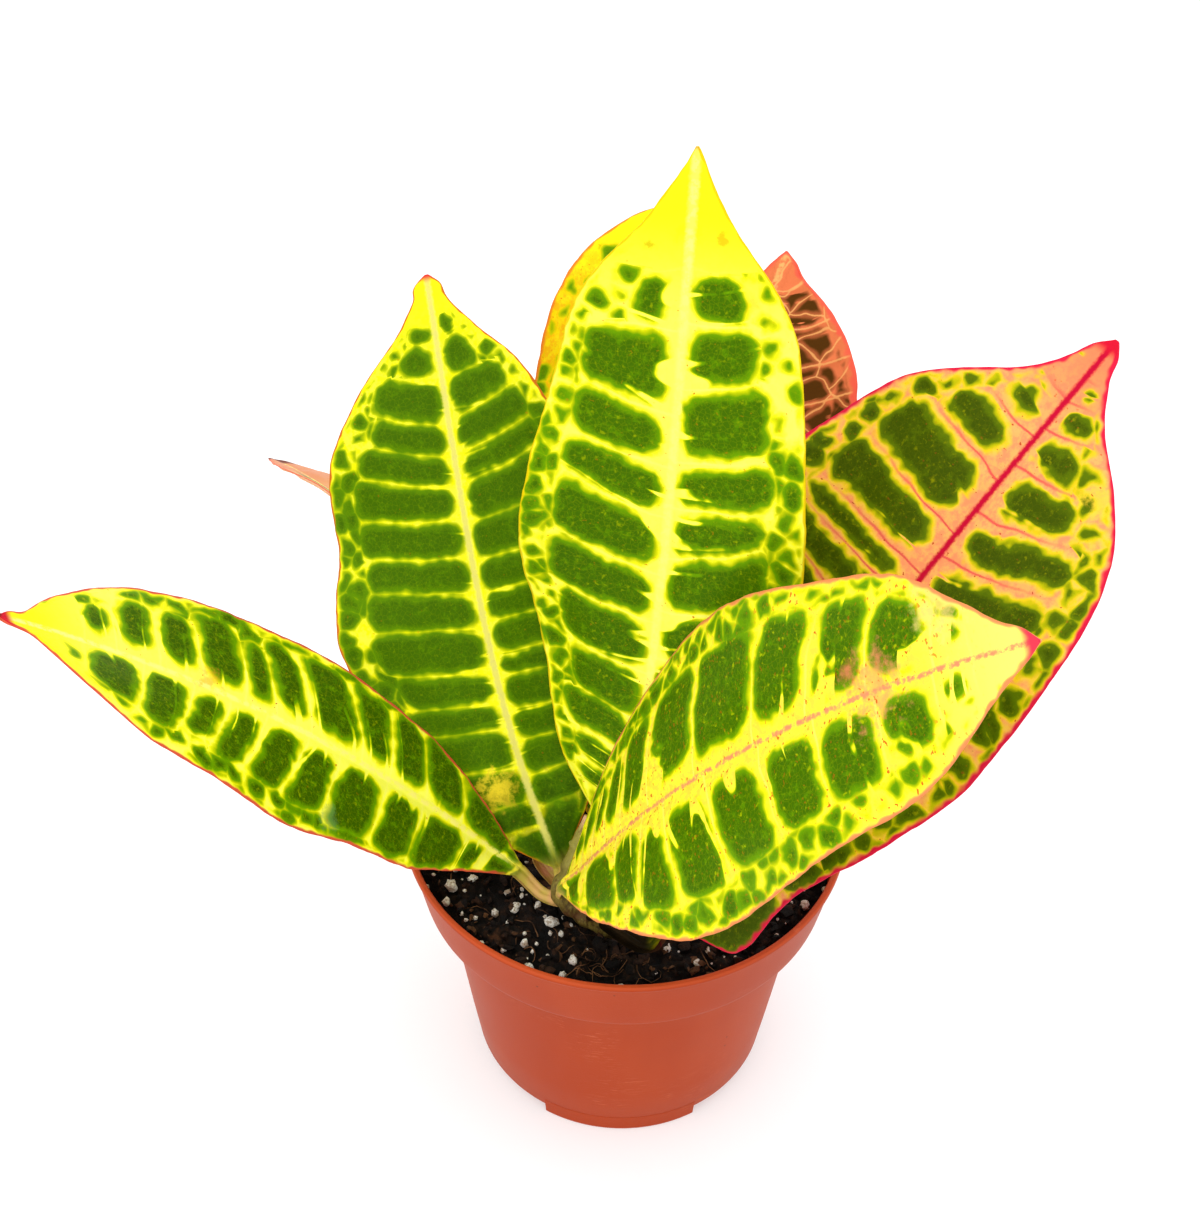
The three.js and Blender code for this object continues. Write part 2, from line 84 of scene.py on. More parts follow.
class Value:
    """A number that varies over a surface: one output socket with arithmetic."""

    def __init__(self, graph: "Graph", socket: bpy.types.NodeSocket) -> None:
        """Wraps one socket of a graph."""
        self.graph, self.socket = graph, socket

    def __add__(self, other: "Value | float") -> "Value":
        """Adds."""
        return self.graph.math("ADD", self, other)

    def __sub__(self, other: "Value | float") -> "Value":
        """Takes the other away from this."""
        return self.graph.math("SUBTRACT", self, other)

    def __rsub__(self, other: float) -> "Value":
        """Takes this away from the other."""
        return self.graph.math("SUBTRACT", other, self)

    def __mul__(self, other: "Value | float") -> "Value":
        """Multiplies."""
        return self.graph.math("MULTIPLY", self, other)

    __radd__ = __add__
    __rmul__ = __mul__

    def root(self) -> "Value":
        """The square root."""
        return self.graph.math("SQRT", self)

    def __abs__(self) -> "Value":
        """Drops the sign."""
        return self.graph.math("ABSOLUTE", self)

    def fraction(self) -> "Value":
        """The part after the point."""
        return self.graph.math("FRACT", self)

    def whole(self) -> "Value":
        """The next whole number below."""
        return self.graph.math("FLOOR", self)

    def least(self, other: "Value | float", rounding: float = 0.0) -> "Value":
        """The smaller of the two, with the corner between them rounded."""
        return self.graph.math("SMOOTH_MIN" if rounding else "MINIMUM", self, other, rounding)

    def most(self, other: "Value | float") -> "Value":
        """The larger of the two."""
        return self.graph.math("MAXIMUM", self, other)

    def rise(self, low: float, high: float) -> "Value":
        """Goes smoothly from 0 at low to 1 at high."""
        return self.graph.make("ShaderNodeMapRange", "Result", {"interpolation_type": "SMOOTHSTEP"},
                               {"Value": self, "From Min": low, "From Max": high})


class Graph:
    """The node tree of one material, with short ways to add its nodes."""

    def __init__(self, name: str) -> None:
        """Starts an empty material.

        Args:
            name: The material's name.
        """
        self.material = bpy.data.materials.new(name)
        self.material.use_nodes = True
        self.tree = self.material.node_tree
        self.tree.nodes.clear()

    def make(self, kind: str, output: str | int = 0, settings: dict | None = None,
             inputs: dict | None = None) -> Value | None:
        """Adds one node.

        Args:
            kind: The node's type.
            output: The name or number of the output that is wanted.
            settings: Its own settings, set first; "stops" are a ramp's places and colours.
            inputs: Values or links, by the name or number of the input socket.

        Returns:
            The output, or None for a node that has none.
        """
        node = self.tree.nodes.new(kind)
        for key, value in (settings or {}).items():
            if key == "stops":
                ramp = node.color_ramp
                while len(ramp.elements) < len(value):
                    ramp.elements.new(0.5)
                for element, (place, colour) in zip(ramp.elements, value):
                    element.position = place
                    element.color = (*colour, 1.0)
            else:
                setattr(node, key, value)
        for key, value in (inputs or {}).items():
            socket = node.inputs[key]
            if isinstance(value, Value):
                self.tree.links.new(value.socket, socket)
            elif isinstance(value, tuple) and len(value) == 3 and socket.type == "RGBA":
                socket.default_value = (*value, 1.0)
            else:
                socket.default_value = value
        return Value(self, node.outputs[output]) if len(node.outputs) else None

    def math(self, operation: str, *values: Value | float) -> Value:
        """Adds a Math node over one to three values."""
        return self.make("ShaderNodeMath", 0, {"operation": operation}, dict(enumerate(values)))

    def vector(self, operation: str, *values: Value | tuple, output: str = "Vector") -> Value:
        """Adds a Vector Math node over one to three values."""
        return self.make("ShaderNodeVectorMath", output, {"operation": operation},
                         dict(enumerate(values)))

    def split(self, vector: Value) -> tuple[Value, Value, Value]:
        """The three parts of a vector."""
        node = self.make("ShaderNodeSeparateXYZ", 0, None, {0: vector}).socket.node
        return tuple(Value(self, output) for output in node.outputs)

    def join(self, x: Value | float, y: Value | float, z: Value | float = 0.0) -> Value:
        """A vector of three parts."""
        return self.make("ShaderNodeCombineXYZ", 0, None, {0: x, 1: y, 2: z})

    def attribute(self, name: str) -> tuple[Value, Value, Value]:
        """The three parts of one of the piece's own attributes."""
        return self.split(self.make("ShaderNodeAttribute", "Vector", {"attribute_name": name}))

    def stretch(self, where: Value, by: Place) -> Value:
        """Coordinates scaled along the axes."""
        return self.make("ShaderNodeMapping", 0, None, {0: where, "Scale": by})

    def place(self, by: Place = (1.0, 1.0, 1.0)) -> Value:
        """Object coordinates, scaled along the axes."""
        return self.stretch(self.make("ShaderNodeTexCoord", "Object"), by)

    def height(self) -> Value:
        """The height over the surface that the pot stands on."""
        return self.split(self.place())[2]

    def waver(self, where: Value, scale: float, reach: float) -> Value:
        """Pushes coordinates about by soft noise, so that what is drawn on them wavers.

        Args:
            where: The coordinates.
            scale: How fine the noise is.
            reach: How far it pushes.

        Returns:
            The new coordinates.
        """
        push = self.make("ShaderNodeTexNoise", "Color", None,
                         {"Vector": where, "Scale": scale, "Detail": 1.0})
        return self.vector("MULTIPLY_ADD", push, (reach, reach, 0.0), where)

    def cloud(self, where: Value, scale: float, detail: float = 2.0, rough: float = 0.5) -> Value:
        """Soft noise from 0 to 1 round a half, over the given coordinates."""
        return self.make("ShaderNodeTexNoise", 0, None, {
            "Vector": where, "Scale": scale, "Detail": detail, "Roughness": rough})

    def cells(self, where: Value, scale: float, output: str = "Distance") -> Value:
        """Cells of uneven shape: the distance from their hearts, or their own colours."""
        return self.make("ShaderNodeTexVoronoi", output, None, {"Vector": where, "Scale": scale})

    def flat_cells(self, where: Value, feature: str, jitter: float = 1.0) -> Value:
        """Cells of size 1 in a plane: the distance from their walls or their hearts."""
        return self.make(
            "ShaderNodeTexVoronoi", "Distance", {"feature": feature, "voronoi_dimensions": "2D"},
            {"Vector": where, "Scale": 1.0, "Randomness": jitter})

    def chance(self, number: Value) -> Value:
        """A fixed random value from 0 to 1 for every number."""
        return self.make("ShaderNodeTexWhiteNoise", "Value", {"noise_dimensions": "1D"},
                         {"W": number})

    def blend(self, share: Value | float, start: Value | Rgb, end: Value | Rgb) -> Value:
        """Mixes two colours."""
        return self.make("ShaderNodeMix", 2, {"data_type": "RGBA"}, {0: share, 6: start, 7: end})

    def coats(self, colour: Value, *coats: tuple[Value, Value | Rgb]) -> Value:
        """Lays further colours over one.

        Args:
            colour: The colour underneath.
            coats: The share and the colour of each coat, from below.

        Returns:
            The colour that shows.
        """
        for share, over in coats:
            colour = self.blend(share, colour, over)
        return colour

    def ramp(self, share: Value, stops: list[tuple[float, Rgb]]) -> Value:
        """A colour that changes through the given stops."""
        return self.make("ShaderNodeValToRGB", 0, {"stops": stops}, {0: share})

    def bump(self, height: Value, depth: float) -> Value:
        """A normal that makes the height stand out by depth metres."""
        return self.make("ShaderNodeBump", 0, None,
                         {"Height": height, "Distance": depth, "Strength": 1.0})

    def finish(self, colour: Value, roughness: Value | float, normal: Value | None = None,
               gloss: float = 0.5, glow: float = 0.0) -> bpy.types.Material:
        """Joins the surface and closes the tree.

        Args:
            colour: The base colour.
            roughness: How dull the surface is.
            normal: The bumped normal, if any.
            gloss: The strength of the reflection of a bare surface.
            glow: The strength of its own white light.

        Returns:
            The material.
        """
        inputs = {"Base Color": colour, "Roughness": roughness, "Specular IOR Level": gloss,
                  "Emission Color": (1.0, 1.0, 1.0), "Emission Strength": glow}
        if normal:
            inputs["Normal"] = normal
        surface = self.make("ShaderNodeBsdfPrincipled", 0, None, inputs)
        self.make("ShaderNodeOutputMaterial", 0, None, {"Surface": surface})
        return self.material


def meshed(name: str, bm: bmesh.types.BMesh) -> bpy.types.Mesh:
    """Turns a bmesh into a named mesh, and frees it.

    Args:
        name: The mesh's name.
        bm: What it is made from.

    Returns:
        The mesh.
    """
    mesh = bpy.data.meshes.new(name)
    bm.to_mesh(mesh)
    bm.free()
    return mesh


def shown(name: str, data: bpy.types.ID) -> bpy.types.Object:
    """Adds an object to the scene.

    Args:
        name: The object's name.
        data: Its mesh, camera or lamp.

    Returns:
        The object.
    """
    made = bpy.data.objects.new(name, data)
    bpy.context.scene.collection.objects.link(made)
    return made


@dataclass
class Bench:
    """Where finished meshes are set down: the shared frame and the pot's axis in it."""

    axis: Vector
    triangles: dict[str, int] = field(default_factory=dict)

    def piece(self, name: str, bm: bmesh.types.BMesh, material: bpy.types.Material,
              stands_for: str | None = None) -> None:
        """Turns a millimetre mesh round the pot's axis into a finished piece.

        Args:
            name: The piece's name.
            bm: Its mesh, which is freed.
            material: Its finish.
            stands_for: The solid that it replaces, if any.
        """
        bm.transform(Matrix.Translation(self.axis) @ Matrix.Scale(MM, 4))
        mesh = meshed(name, bm)
        mesh.materials.append(material)
        made = shown(name, mesh)
        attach(made, "root")
        if stands_for:
            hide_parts(stands_for)
        self.triangles[name] = sum(len(face.vertices) - 2 for face in mesh.polygons)
        log.info("%s: %d triangles", name, self.triangles[name])


def smooth_faces(bm: bmesh.types.BMesh) -> None:
    """Shades every face smooth."""
    for face in bm.faces:
        face.smooth = True


def outward(bm: bmesh.types.BMesh) -> bmesh.types.BMesh:
    """Turns the faces of a closed mesh outwards and shades them smooth.

    Args:
        bm: The mesh.

    Returns:
        The same mesh.
    """
    bmesh.ops.recalc_face_normals(bm, faces=bm.faces)
    if bm.calc_volume(signed=True) < 0:
        bmesh.ops.reverse_faces(bm, faces=bm.faces)
    smooth_faces(bm)
    return bm


def edges_of(ring: list[bmesh.types.BMVert]) -> list[bmesh.types.BMEdge]:
    """The edges of a new ring of points, each once."""
    return list(dict.fromkeys(edge for vert in ring for edge in vert.link_edges))


def tube(bm: bmesh.types.BMesh, rings: list[list[Vector]]) -> None:
    """Adds a closed tube by extruding a ring along its way.

    Args:
        bm: The mesh that it joins.
        rings: The points of every ring, from one end to the other.
    """
    ring = bmesh.ops.create_circle(bm, cap_ends=True, segments=len(rings[0]), radius=1)["verts"]
    loop = edges_of(ring)
    for number, points in enumerate(rings):
        if number:
            made = bmesh.ops.extrude_edge_only(bm, edges=loop)["geom"]
            ring = [item for item in made if isinstance(item, bmesh.types.BMVert)]
            loop = [item for item in made if isinstance(item, bmesh.types.BMEdge)
                    and all(vert in ring for vert in item.verts)]
        for vert, point in zip(ring, points):
            vert.co = point
    bmesh.ops.contextual_create(bm, geom=loop)


def spun(profile: list[tuple[float, float]], steps: int, start: float = 0.0,
         turn: float = 360.0) -> bmesh.types.BMesh:
    """Turns a profile of (radius, height) points round the Z axis.

    Args:
        profile: The points, in order.
        steps: How many faces go round.
        start: Where the turn begins, in degrees.
        turn: How far it goes. A full turn is closed.

    Returns:
        The open or closed shell.
    """
    bm = bmesh.new()
    points = [bm.verts.new((radius, 0.0, z)) for radius, z in profile]
    edges = [bm.edges.new(pair) for pair in zip(points, points[1:])]
    bmesh.ops.rotate(bm, verts=points, cent=(0, 0, 0),
                     matrix=Matrix.Rotation(math.radians(start), 3, "Z"))
    bmesh.ops.spin(bm, geom=points + edges, cent=(0, 0, 0), axis=(0, 0, 1), dvec=(0, 0, 0),
                   angle=math.radians(turn), steps=steps, use_merge=turn >= 360.0)
    bmesh.ops.remove_doubles(bm, verts=bm.verts, dist=1e-5)
    return bm


def normals(points: np.ndarray, row: np.ndarray, column: np.ndarray) -> np.ndarray:
    """Finds the way out of a sheet of points.

    Args:
        points: The points.
        row: The row of each in the sheet.
        column: The column of each.

    Returns:
        A unit vector for each point.
    """
    grid = np.full((row.max() + 1, column.max() + 1), -1)
    grid[row, column] = np.arange(len(points))
    sheet = points[grid]
    normal = np.cross(np.gradient(sheet, axis=0), np.gradient(sheet, axis=1))
    normal /= np.maximum(np.linalg.norm(normal, axis=2), 1e-12)[..., None]
    return normal[row, column]


# ------------------------------------------------------------------ leaves

YELLOW = shade(255, 250, 30)
PALE_YELLOW = shade(255, 252, 100)
CREAM = shade(255, 250, 130)
LIME = shade(190, 200, 4)
STALK_GREEN = shade(196, 178, 84)
STALK_PINK = shade(226, 170, 128)

# The shares of the blade's length at which its half widths are given.
STATIONS = (0, 0.1, 0.22, 0.37, 0.53, 0.69, 0.83, 0.93, 0.96, 0.985, 1.0)
END_HALF_WIDTH = 0.3
# The share of the half blade at which a lateral's outer place is given.
OUTER_MARK = 0.75
# The place past the tip where each row of laterals ends.
PAST_TIP = 1.06
# The width over which a lateral's slant is counted.
SLANT_WIDTH = 18
# The width over which a blush's place across the blade is counted.
BLUSH_WIDTH = 24.0
# Added to a lateral's number on the left, so that the halves of a blade differ.
LEFT_NUMBER = 31.0


class Face(Enum):
    """The two faces of a blade, as the numbers kept on their points."""

    UPPER = 1.0
    UNDER = 0.0


@dataclass(frozen=True)
class TintAndShadePatch:
    """A soft patch of another colour, some of them painted shade: its place on the blade, its
    reach, its strength.
    """

    u: float
    v: float
    reach: float
    colour: Rgb
    strength: float


@dataclass(frozen=True)
class LeafPaint:
    """The colours of one leaf and how its pattern is drawn: yellow and green, if not changed.

    vein, halo, rim, light and deep are met in that order from the middle of a lateral vein
    to the middle of a blotch. band is half the width of the ground colour along a lateral,
    at the foot of the blade and further up.
    """

    vein: Rgb = PALE_YELLOW
    vein_line: Rgb = CREAM
    line_strength: float = 0.5
    halo: Rgb = YELLOW
    rim: Rgb = LIME
    light: Rgb = shade(112, 158, 0)
    deep: Rgb = shade(76, 114, 0)
    rib: Rgb = CREAM
    rib_line: float = 0.8
    rib_whole: float = 0.0
    edge: Rgb = shade(214, 150, 30)
    edge_width: float = 0.5
    tip: Rgb = YELLOW
    point: Rgb = shade(220, 60, 60)
    point_from: float = 0.985
    stalk: tuple[Rgb, Rgb] = (STALK_GREEN, STALK_PINK)
    speck: Rgb = shade(196, 92, 20)
    specks: float = 0.05
    tinge: Rgb = shade(255, 255, 120)
    tinged: float = 0.3
    under_vein: Rgb = shade(214, 206, 120)
    under_line: Rgb = shade(232, 226, 150)
    under_blotch: Rgb = shade(120, 140, 60)
    under_net: float = 3.0
    band: tuple[float, float] = (0.8, 1.4)
    corner: float = 3.0
    cell: float = 4.2
    cell_band: float = 0.5
    cell_round: float = 0.5
    margin_gap: float = 0.8
    clear_from: float = 0.88
    wobble: float = 0.6
    streaks: float = 0.5
    spots: float = 0.4
    net: float = 0.1
    seed: float = 1.0
    tint_and_shade_patches: tuple[TintAndShadePatch, ...] = ()


class LeafPainter:
    """Draws one leaf's pattern from the places that its points keep.

    They say where a point lies on the blade, where it lies among the lateral veins, and
    where the blotches begin and end.
    """

    def __init__(self, name: str, length: float, paint: LeafPaint) -> None:
        """Sets out the places on the leaf and the noises that all its coats share.

        Args:
            name: The leaf's name.
            length: The blade's length.
            paint: Its colours and measures.
        """
        g = self.g = Graph(name)
        self.paint, self.length = paint, length
        self.u, self.v, self.width = g.attribute("blade")
        number, self.gap, self.upper = g.attribute("laterals")
        self.begin, self.end, _ = g.attribute("blotch")
        self.out = abs(self.v)
        self.from_rib = self.out * self.width
        self.to_edge = self.width - self.from_rib
        self.along = self.u * length
        self.across = self.v * self.width
        flat = g.join(self.along, self.across, paint.seed)
        self.bent = g.waver(flat, 0.22, 3.4 * paint.wobble)
        self.slow = g.cloud(flat, 0.17, 0.0)
        self.draw = g.cloud(flat, 0.45, 0.0)
        self.fine = g.cloud(flat, 1.4, 2.0, 0.6)
        self.grain = g.cloud(flat, 3.4, 2.0, 0.6)
        self.mottle = g.cloud(flat, 0.55, 4.0, 0.7)
        self.side = self.v.rise(-0.01, 0.01) * LEFT_NUMBER
        self.number = number + (g.cloud(flat, 0.13, 0.0) - 0.5) * (0.24 * paint.wobble)
        self.to_vein = (0.5 - abs(self.number.fraction() - 0.5)) * self.gap
        self.veinlet = g.make(
            "ShaderNodeTexVoronoi", "Distance", {"feature": "DISTANCE_TO_EDGE"},
            {"Vector": g.join(self.along, self.across, paint.seed + 9.0), "Scale": 0.9})

    def blotch(self) -> Value:
        """How deep a point lies in the blotch between two laterals.

        Returns:
            The depth, with ragged slits cut into the blotch's foot.
        """
        g, paint = self.g, self.paint
        luck = g.chance((self.number + 0.5).whole() + self.side + paint.seed * 5.0)
        low, high = paint.band
        band = (self.u.rise(0.05, 0.5) * (high - low) + low) * (1.2 - 0.45 * self.out)
        band = (band * (0.75 + 0.5 * luck)).least(self.gap * 0.24)
        inward = self.from_rib - self.begin * self.width
        outward_from = (self.end - self.out) * self.width
        from_vein = (paint.corner - self.to_vein + band).most(0.0)
        from_ends = (paint.corner - inward.least(outward_from)).most(0.0)
        depth = paint.corner - (from_vein * from_vein + from_ends * from_ends).root()
        comb = g.join(self.number * 1.9 + self.side, self.from_rib * 0.03, paint.seed)
        comb = g.cloud(comb, 1.0, 0.0)
        cut = (1.0 - abs(comb - 0.5).rise(0.01, 0.05)) * luck.rise(0.1, 0.3)
        slit = (1.0 - (inward + (self.draw - 0.5) * 8.0).rise(2.0, 9.5)) * 4.6 + 1.2
        return depth - cut * slit * paint.streaks + 0.3

    def cell(self) -> Value:
        """How deep a point lies in one of the small cells along the margin.

        Returns:
            The depth, less towards the tip.
        """
        g, paint = self.g, self.paint
        space = g.stretch(self.bent, (1 / paint.cell, 0.85 / paint.cell, 1.0))
        walls = g.flat_cells(space, "DISTANCE_TO_EDGE", 0.75)
        hearts = g.flat_cells(space, "F1", 0.75)
        depth = (walls * paint.cell - paint.cell_band).least(
            (paint.cell_round - hearts) * paint.cell, 1.6) + 0.15
        depth = depth.least((self.out - self.end) * self.width - paint.margin_gap, 0.8)
        depth = depth.least(self.to_edge - paint.edge_width - 0.5, 0.8)
        return depth - self.u.rise(0.6, paint.clear_from) * 1.1 + (self.slow - 0.5) * 2.4

    def depth(self) -> Value:
        """How deep a point lies in whatever is green.

        Returns:
            The depth, with a wavering outline; the ground colour lies under 0.
        """
        g, paint = self.g, self.paint
        shake = (self.slow - 0.5) * (1.8 * paint.wobble) + (self.draw - 0.5) * (2.2 * paint.wobble)
        shake = shake + (self.fine - 0.5) * (0.3 * paint.wobble) + (self.grain - 0.5) * 0.1
        luck = g.chance(self.number.whole() + self.side + paint.seed * 7.0)
        tip_clear = (paint.clear_from + 0.04 * (luck - 0.5) - self.u) * self.length
        return self.blotch().most(self.cell()).least(tip_clear + 1.0, 2.0) + shake

    def tint_and_shade_patch(self, tint_and_shade_patch: TintAndShadePatch) -> tuple[Value, Rgb]:
        """One soft patch, as a coat.

        Args:
            tint_and_shade_patch: The patch.

        Returns:
            Its share and its colour.
        """
        away = self.g.vector("LENGTH", self.g.join(
            (self.u - tint_and_shade_patch.u) * self.length, self.across - tint_and_shade_patch.v * BLUSH_WIDTH), output="Value")
        patchy = ((self.draw - 0.5) * (tint_and_shade_patch.reach * 1.3)
                  + (self.fine - 0.5) * (tint_and_shade_patch.reach * 1.2))
        spread = (away + patchy).rise(0.2 * tint_and_shade_patch.reach, tint_and_shade_patch.reach)
        return (1.0 - spread) * tint_and_shade_patch.strength, tint_and_shade_patch.colour

    def face(self, depth: Value, rib: Value, edge: Value) -> Value:
        """The upper face.

        Args:
            depth: How deep a point lies in the green.
            rib: The share of the midrib's colour.
            edge: The share of the margin's colour.

        Returns:
            Its colour.
        """
        g, paint, draw, mottle = self.g, self.paint, self.draw, self.mottle
        base = g.ramp((depth + 1.4) * (1 / 3.6), [
            (0.0, paint.vein), (0.2, paint.halo), (0.36, paint.rim), (0.5, paint.light),
            (0.86, paint.deep)])
        inside = depth.rise(0.2, 1.0)
        ground = 1.0 - depth.rise(-0.8, -0.2)
        fleck = g.cloud(self.bent, 0.8, 2.0, 0.6).rise(0.56, 0.74) * inside * draw.rise(0.42, 0.6)
        line = (1.0 - (self.to_vein + (self.grain - 0.5) * 0.4).rise(0.05, 0.4)) * ground
        line = line * (1.0 - self.out.rise(0.1, 0.85)) * (mottle + 0.5) * paint.line_strength
        clear = self.u.rise(paint.clear_from - 0.1, paint.clear_from + 0.06) * ground
        speckle = g.cloud(g.join(self.along, self.across * 0.7, paint.seed + 5.0), 1.5, 1.0)
        rare = 0.75 - 0.12 * paint.specks
        speckle = speckle.rise(rare, rare + 0.03) * draw.rise(0.38, 0.5) * (1.0 - clear)
        return g.coats(
            base,
            (inside * mottle.rise(0.48, 0.72) * 0.6, paint.light),
            (inside * self.fine.rise(0.6, 0.74) * 0.2, paint.rim),
            (fleck * paint.spots, paint.rim),
            ((1.0 - self.veinlet.rise(0.02, 0.09)) * inside * paint.net, paint.rim),
            (ground * mottle.rise(0.4, 0.6) * paint.tinged, paint.tinge),
            (line, paint.vein_line),
            (clear, paint.tip),
            *map(self.tint_and_shade_patch, paint.tint_and_shade_patches),
            (speckle * (ground * 0.6 + 0.3), paint.speck),
            (rib, paint.rib),
            (edge, paint.edge),
            (self.u.rise(paint.point_from, paint.point_from + 0.015), paint.point))

    def back(self, depth: Value, rib: Value, edge: Value) -> Value:
        """The pale under face with its net of fine veins.

        Args:
            depth: How deep a point lies in the green.
            rib: The share of the midrib's colour.
            edge: The share of the margin's colour.

        Returns:
            Its colour.
        """
        g, paint = self.g, self.paint
        space = g.stretch(self.bent, (1 / paint.under_net, 1 / paint.under_net, 1.0))
        net = g.flat_cells(space, "DISTANCE_TO_EDGE") * paint.under_net
        fine_line = net.least(self.to_vein, 0.6) + (self.grain - 0.5) * 0.2
        return g.coats(
            g.blend(depth.rise(-0.9, 0.5), paint.under_vein, paint.under_blotch),
            ((1.0 - fine_line.rise(0.3, 1.3)) * 0.5, paint.under_vein),
            ((1.0 - fine_line.rise(0.05, 0.3)) * 0.85, paint.under_line),
            (rib, paint.under_line),
            (edge, paint.edge))

    def material(self) -> bpy.types.Material:
        """Joins both faces and the petiole.

        Returns:
            The leaf's material.
        """
        g, paint = self.g, self.paint
        depth = self.depth()
        worn = (self.from_rib + (self.fine - 0.5) * 0.8).rise(
            0.3 * paint.rib_line, 1.2 * paint.rib_line)
        rib = (1.0 - worn) * self.mottle.rise(0.36, 0.56).most(paint.rib_whole)
        rib = rib * self.u.rise(0.0, 0.07)
        edge = 1.0 - (self.to_edge + (self.draw - 0.5) * paint.edge_width * 1.6).rise(
            0.3 * paint.edge_width, 1.3 * paint.edge_width)
        edge = edge * self.u.rise(0.0, 0.05)
        upper = self.upper.rise(0.3, 0.7)
        body = g.place()
        leafy = g.coats(
            self.back(depth, rib, edge),
            (upper, self.face(depth, rib, edge)),
            (1.0 - self.u.rise(-0.02, 0.03),
             g.blend(g.cloud(body, 160.0).rise(0.4, 0.7), *paint.stalk)))
        height = self.veinlet * 0.25 + g.cloud(body, 2600.0) * 0.12 + self.mottle * 0.35
        dull = 0.42 + (self.mottle - 0.5) * 0.2 + (1.0 - upper) * 0.15
        return g.finish(leafy, dull, g.bump(height, 0.0002), gloss=0.06)


@dataclass
class Leaf:
    """One leaf: its way from the stem, its outline, its laterals and its paint.

    The midrib starts at foot towards azimuth and elevation, and sweep and bend turn it on its
    way, by degrees. fold lifts the halves of the blade, curl bends them back, and waves of the
    height wave run along them. left and right give, for every lateral vein from the foot on,
    the share of the blade's length at the midrib and at three quarters of the half blade, then
    the shares of the half blade where the blotch beyond it begins and ends.
    """

    name: str
    slot: str
    stem_height: float
    foot: Place
    azimuth: float
    elevation: float
    length: float
    bend: float
    sweep: float
    roll: float
    twist: float
    wave: float
    phase: float
    half_widths: tuple[float, ...]
    left: Laterals
    right: Laterals
    paint: LeafPaint
    ease: float = 1
    fold: float = 10
    curl: float = 10
    lopsided: float = 0
    waves: float = 2.5
    waist: float = 0.0
    rows: int = 190
    petiole_rows: int = 16
    keel_columns: int = 6
    outer_columns: int = 36
    keel_reach: float = 1.8
    keel_share: float = 0.45
    petiole_width: float = 1.5
    bow: float = 1.25
    blade_depth: float = 0.5
    margin_depth: float = 0.25
    rib_depth: tuple[float, float] = (2.3, 0.8)
    quilting: float = 0.24
    rolling: float = 0.3
    channel: tuple[tuple[float, float], ...] = ((-0.4, 1.7), (0.35, 0.6))
    ragged: tuple[tuple[float, float], ...] = ((26, 0.35), (90, 0.12))

    def half_width(self, u: np.ndarray) -> np.ndarray:
        """Finds the outline, on a smooth line through the half widths.

        Args:
            u: Shares of the blade's length.

        Returns:
            Half the blade's width at each.
        """
        at = np.array(STATIONS)
        widths = np.array([self.petiole_width, *self.half_widths, END_HALF_WIDTH])
        slope = np.diff(widths) / np.diff(at)
        span = np.diff(at)
        steep = np.concatenate([
            slope[:1], (slope[:-1] * span[1:] + slope[1:] * span[:-1]) / (span[1:] + span[:-1]),
            slope[-1:]])
        i = np.clip(np.searchsorted(at, u, side="right") - 1, 0, len(at) - 2)
        f = (u - at[i]) / span[i]
        line = ((2 * f**3 - 3 * f**2 + 1) * widths[i]
                + (f**3 - 2 * f**2 + f) * steep[i] * span[i]
                + (3 * f**2 - 2 * f**3) * widths[i + 1]
                + (f**3 - f**2) * steep[i + 1] * span[i])
        drawn_in = 1 - self.waist * (1 - smooth(0.04, 0.115, u))
        return np.maximum(line * drawn_in, np.minimum(line, self.petiole_width))

    def way(self, u: np.ndarray) -> tuple[np.ndarray, np.ndarray, np.ndarray]:
        """Finds how the blade lies along its midrib.

        Args:
            u: Shares of its length.

        Returns:
            Unit vectors along the midrib, to its left and out of the upper face.
        """
        eased = 1 - (1 - np.clip(u, 0, 1)) ** self.ease
        turn = np.radians(self.azimuth + self.sweep * eased)
        rise = np.radians(self.elevation + self.bend * eased)
        roll = np.radians(self.roll + self.twist * u)[:, None]
        along = np.stack([np.cos(rise) * np.cos(turn), np.cos(rise) * np.sin(turn),
                          np.sin(rise)], -1)
        level = np.stack([-np.sin(turn), np.cos(turn), 0 * turn], -1)
        out = np.cross(along, level)
        left = np.cos(roll) * level + np.sin(roll) * out
        return along, left, np.cross(along, left)

    def midrib(self, u: np.ndarray, steps: int = 160) -> np.ndarray:
        """Finds points of the midrib.

        Args:
            u: Shares of its length.
            steps: How many straight steps it is added up from.

        Returns:
            The points.
        """
        along, _, _ = self.way((np.arange(steps) + 0.5) / steps)
        line = np.concatenate([[[0, 0, 0]], np.cumsum(along, 0) * self.length / steps])
        shares = np.linspace(0, 1, steps + 1)
        line = line + np.array(self.foot)
        return np.stack([np.interp(u, shares, line[:, axis]) for axis in range(3)], -1)

    def petiole(self, stem: "Stem", shares: np.ndarray) -> tuple[np.ndarray, np.ndarray]:
        """Finds the petiole's way from inside the stem to the blade.

        Args:
            stem: The stem that it grows from.
            shares: Shares of its length.

        Returns:
            The points of its centre line and the direction in each.
        """
        root, stem_way = stem.at_height(self.stem_height)
        foot = np.array(self.foot)
        outward_way = foot - root
        outward_way = outward_way - stem_way * float(outward_way @ stem_way)
        outward_way /= np.linalg.norm(outward_way)
        root = root + outward_way * (stem.radius_at(self.stem_height) - 1.0)
        along, _, _ = self.way(np.array([0.0]))
        ease = 0.4 * np.linalg.norm(foot - root)
        a, b, c, d = root, root + outward_way * ease, foot - along[0] * ease, foot
        t = shares[:, None]
        point = (1 - t)**3 * a + 3 * (1 - t)**2 * t * b + 3 * (1 - t) * t * t * c + t**3 * d
        heading = (1 - t)**2 * (b - a) + 2 * (1 - t) * t * (c - b) + t * t * (d - c)
        return point, heading / np.linalg.norm(heading, axis=1)[:, None]

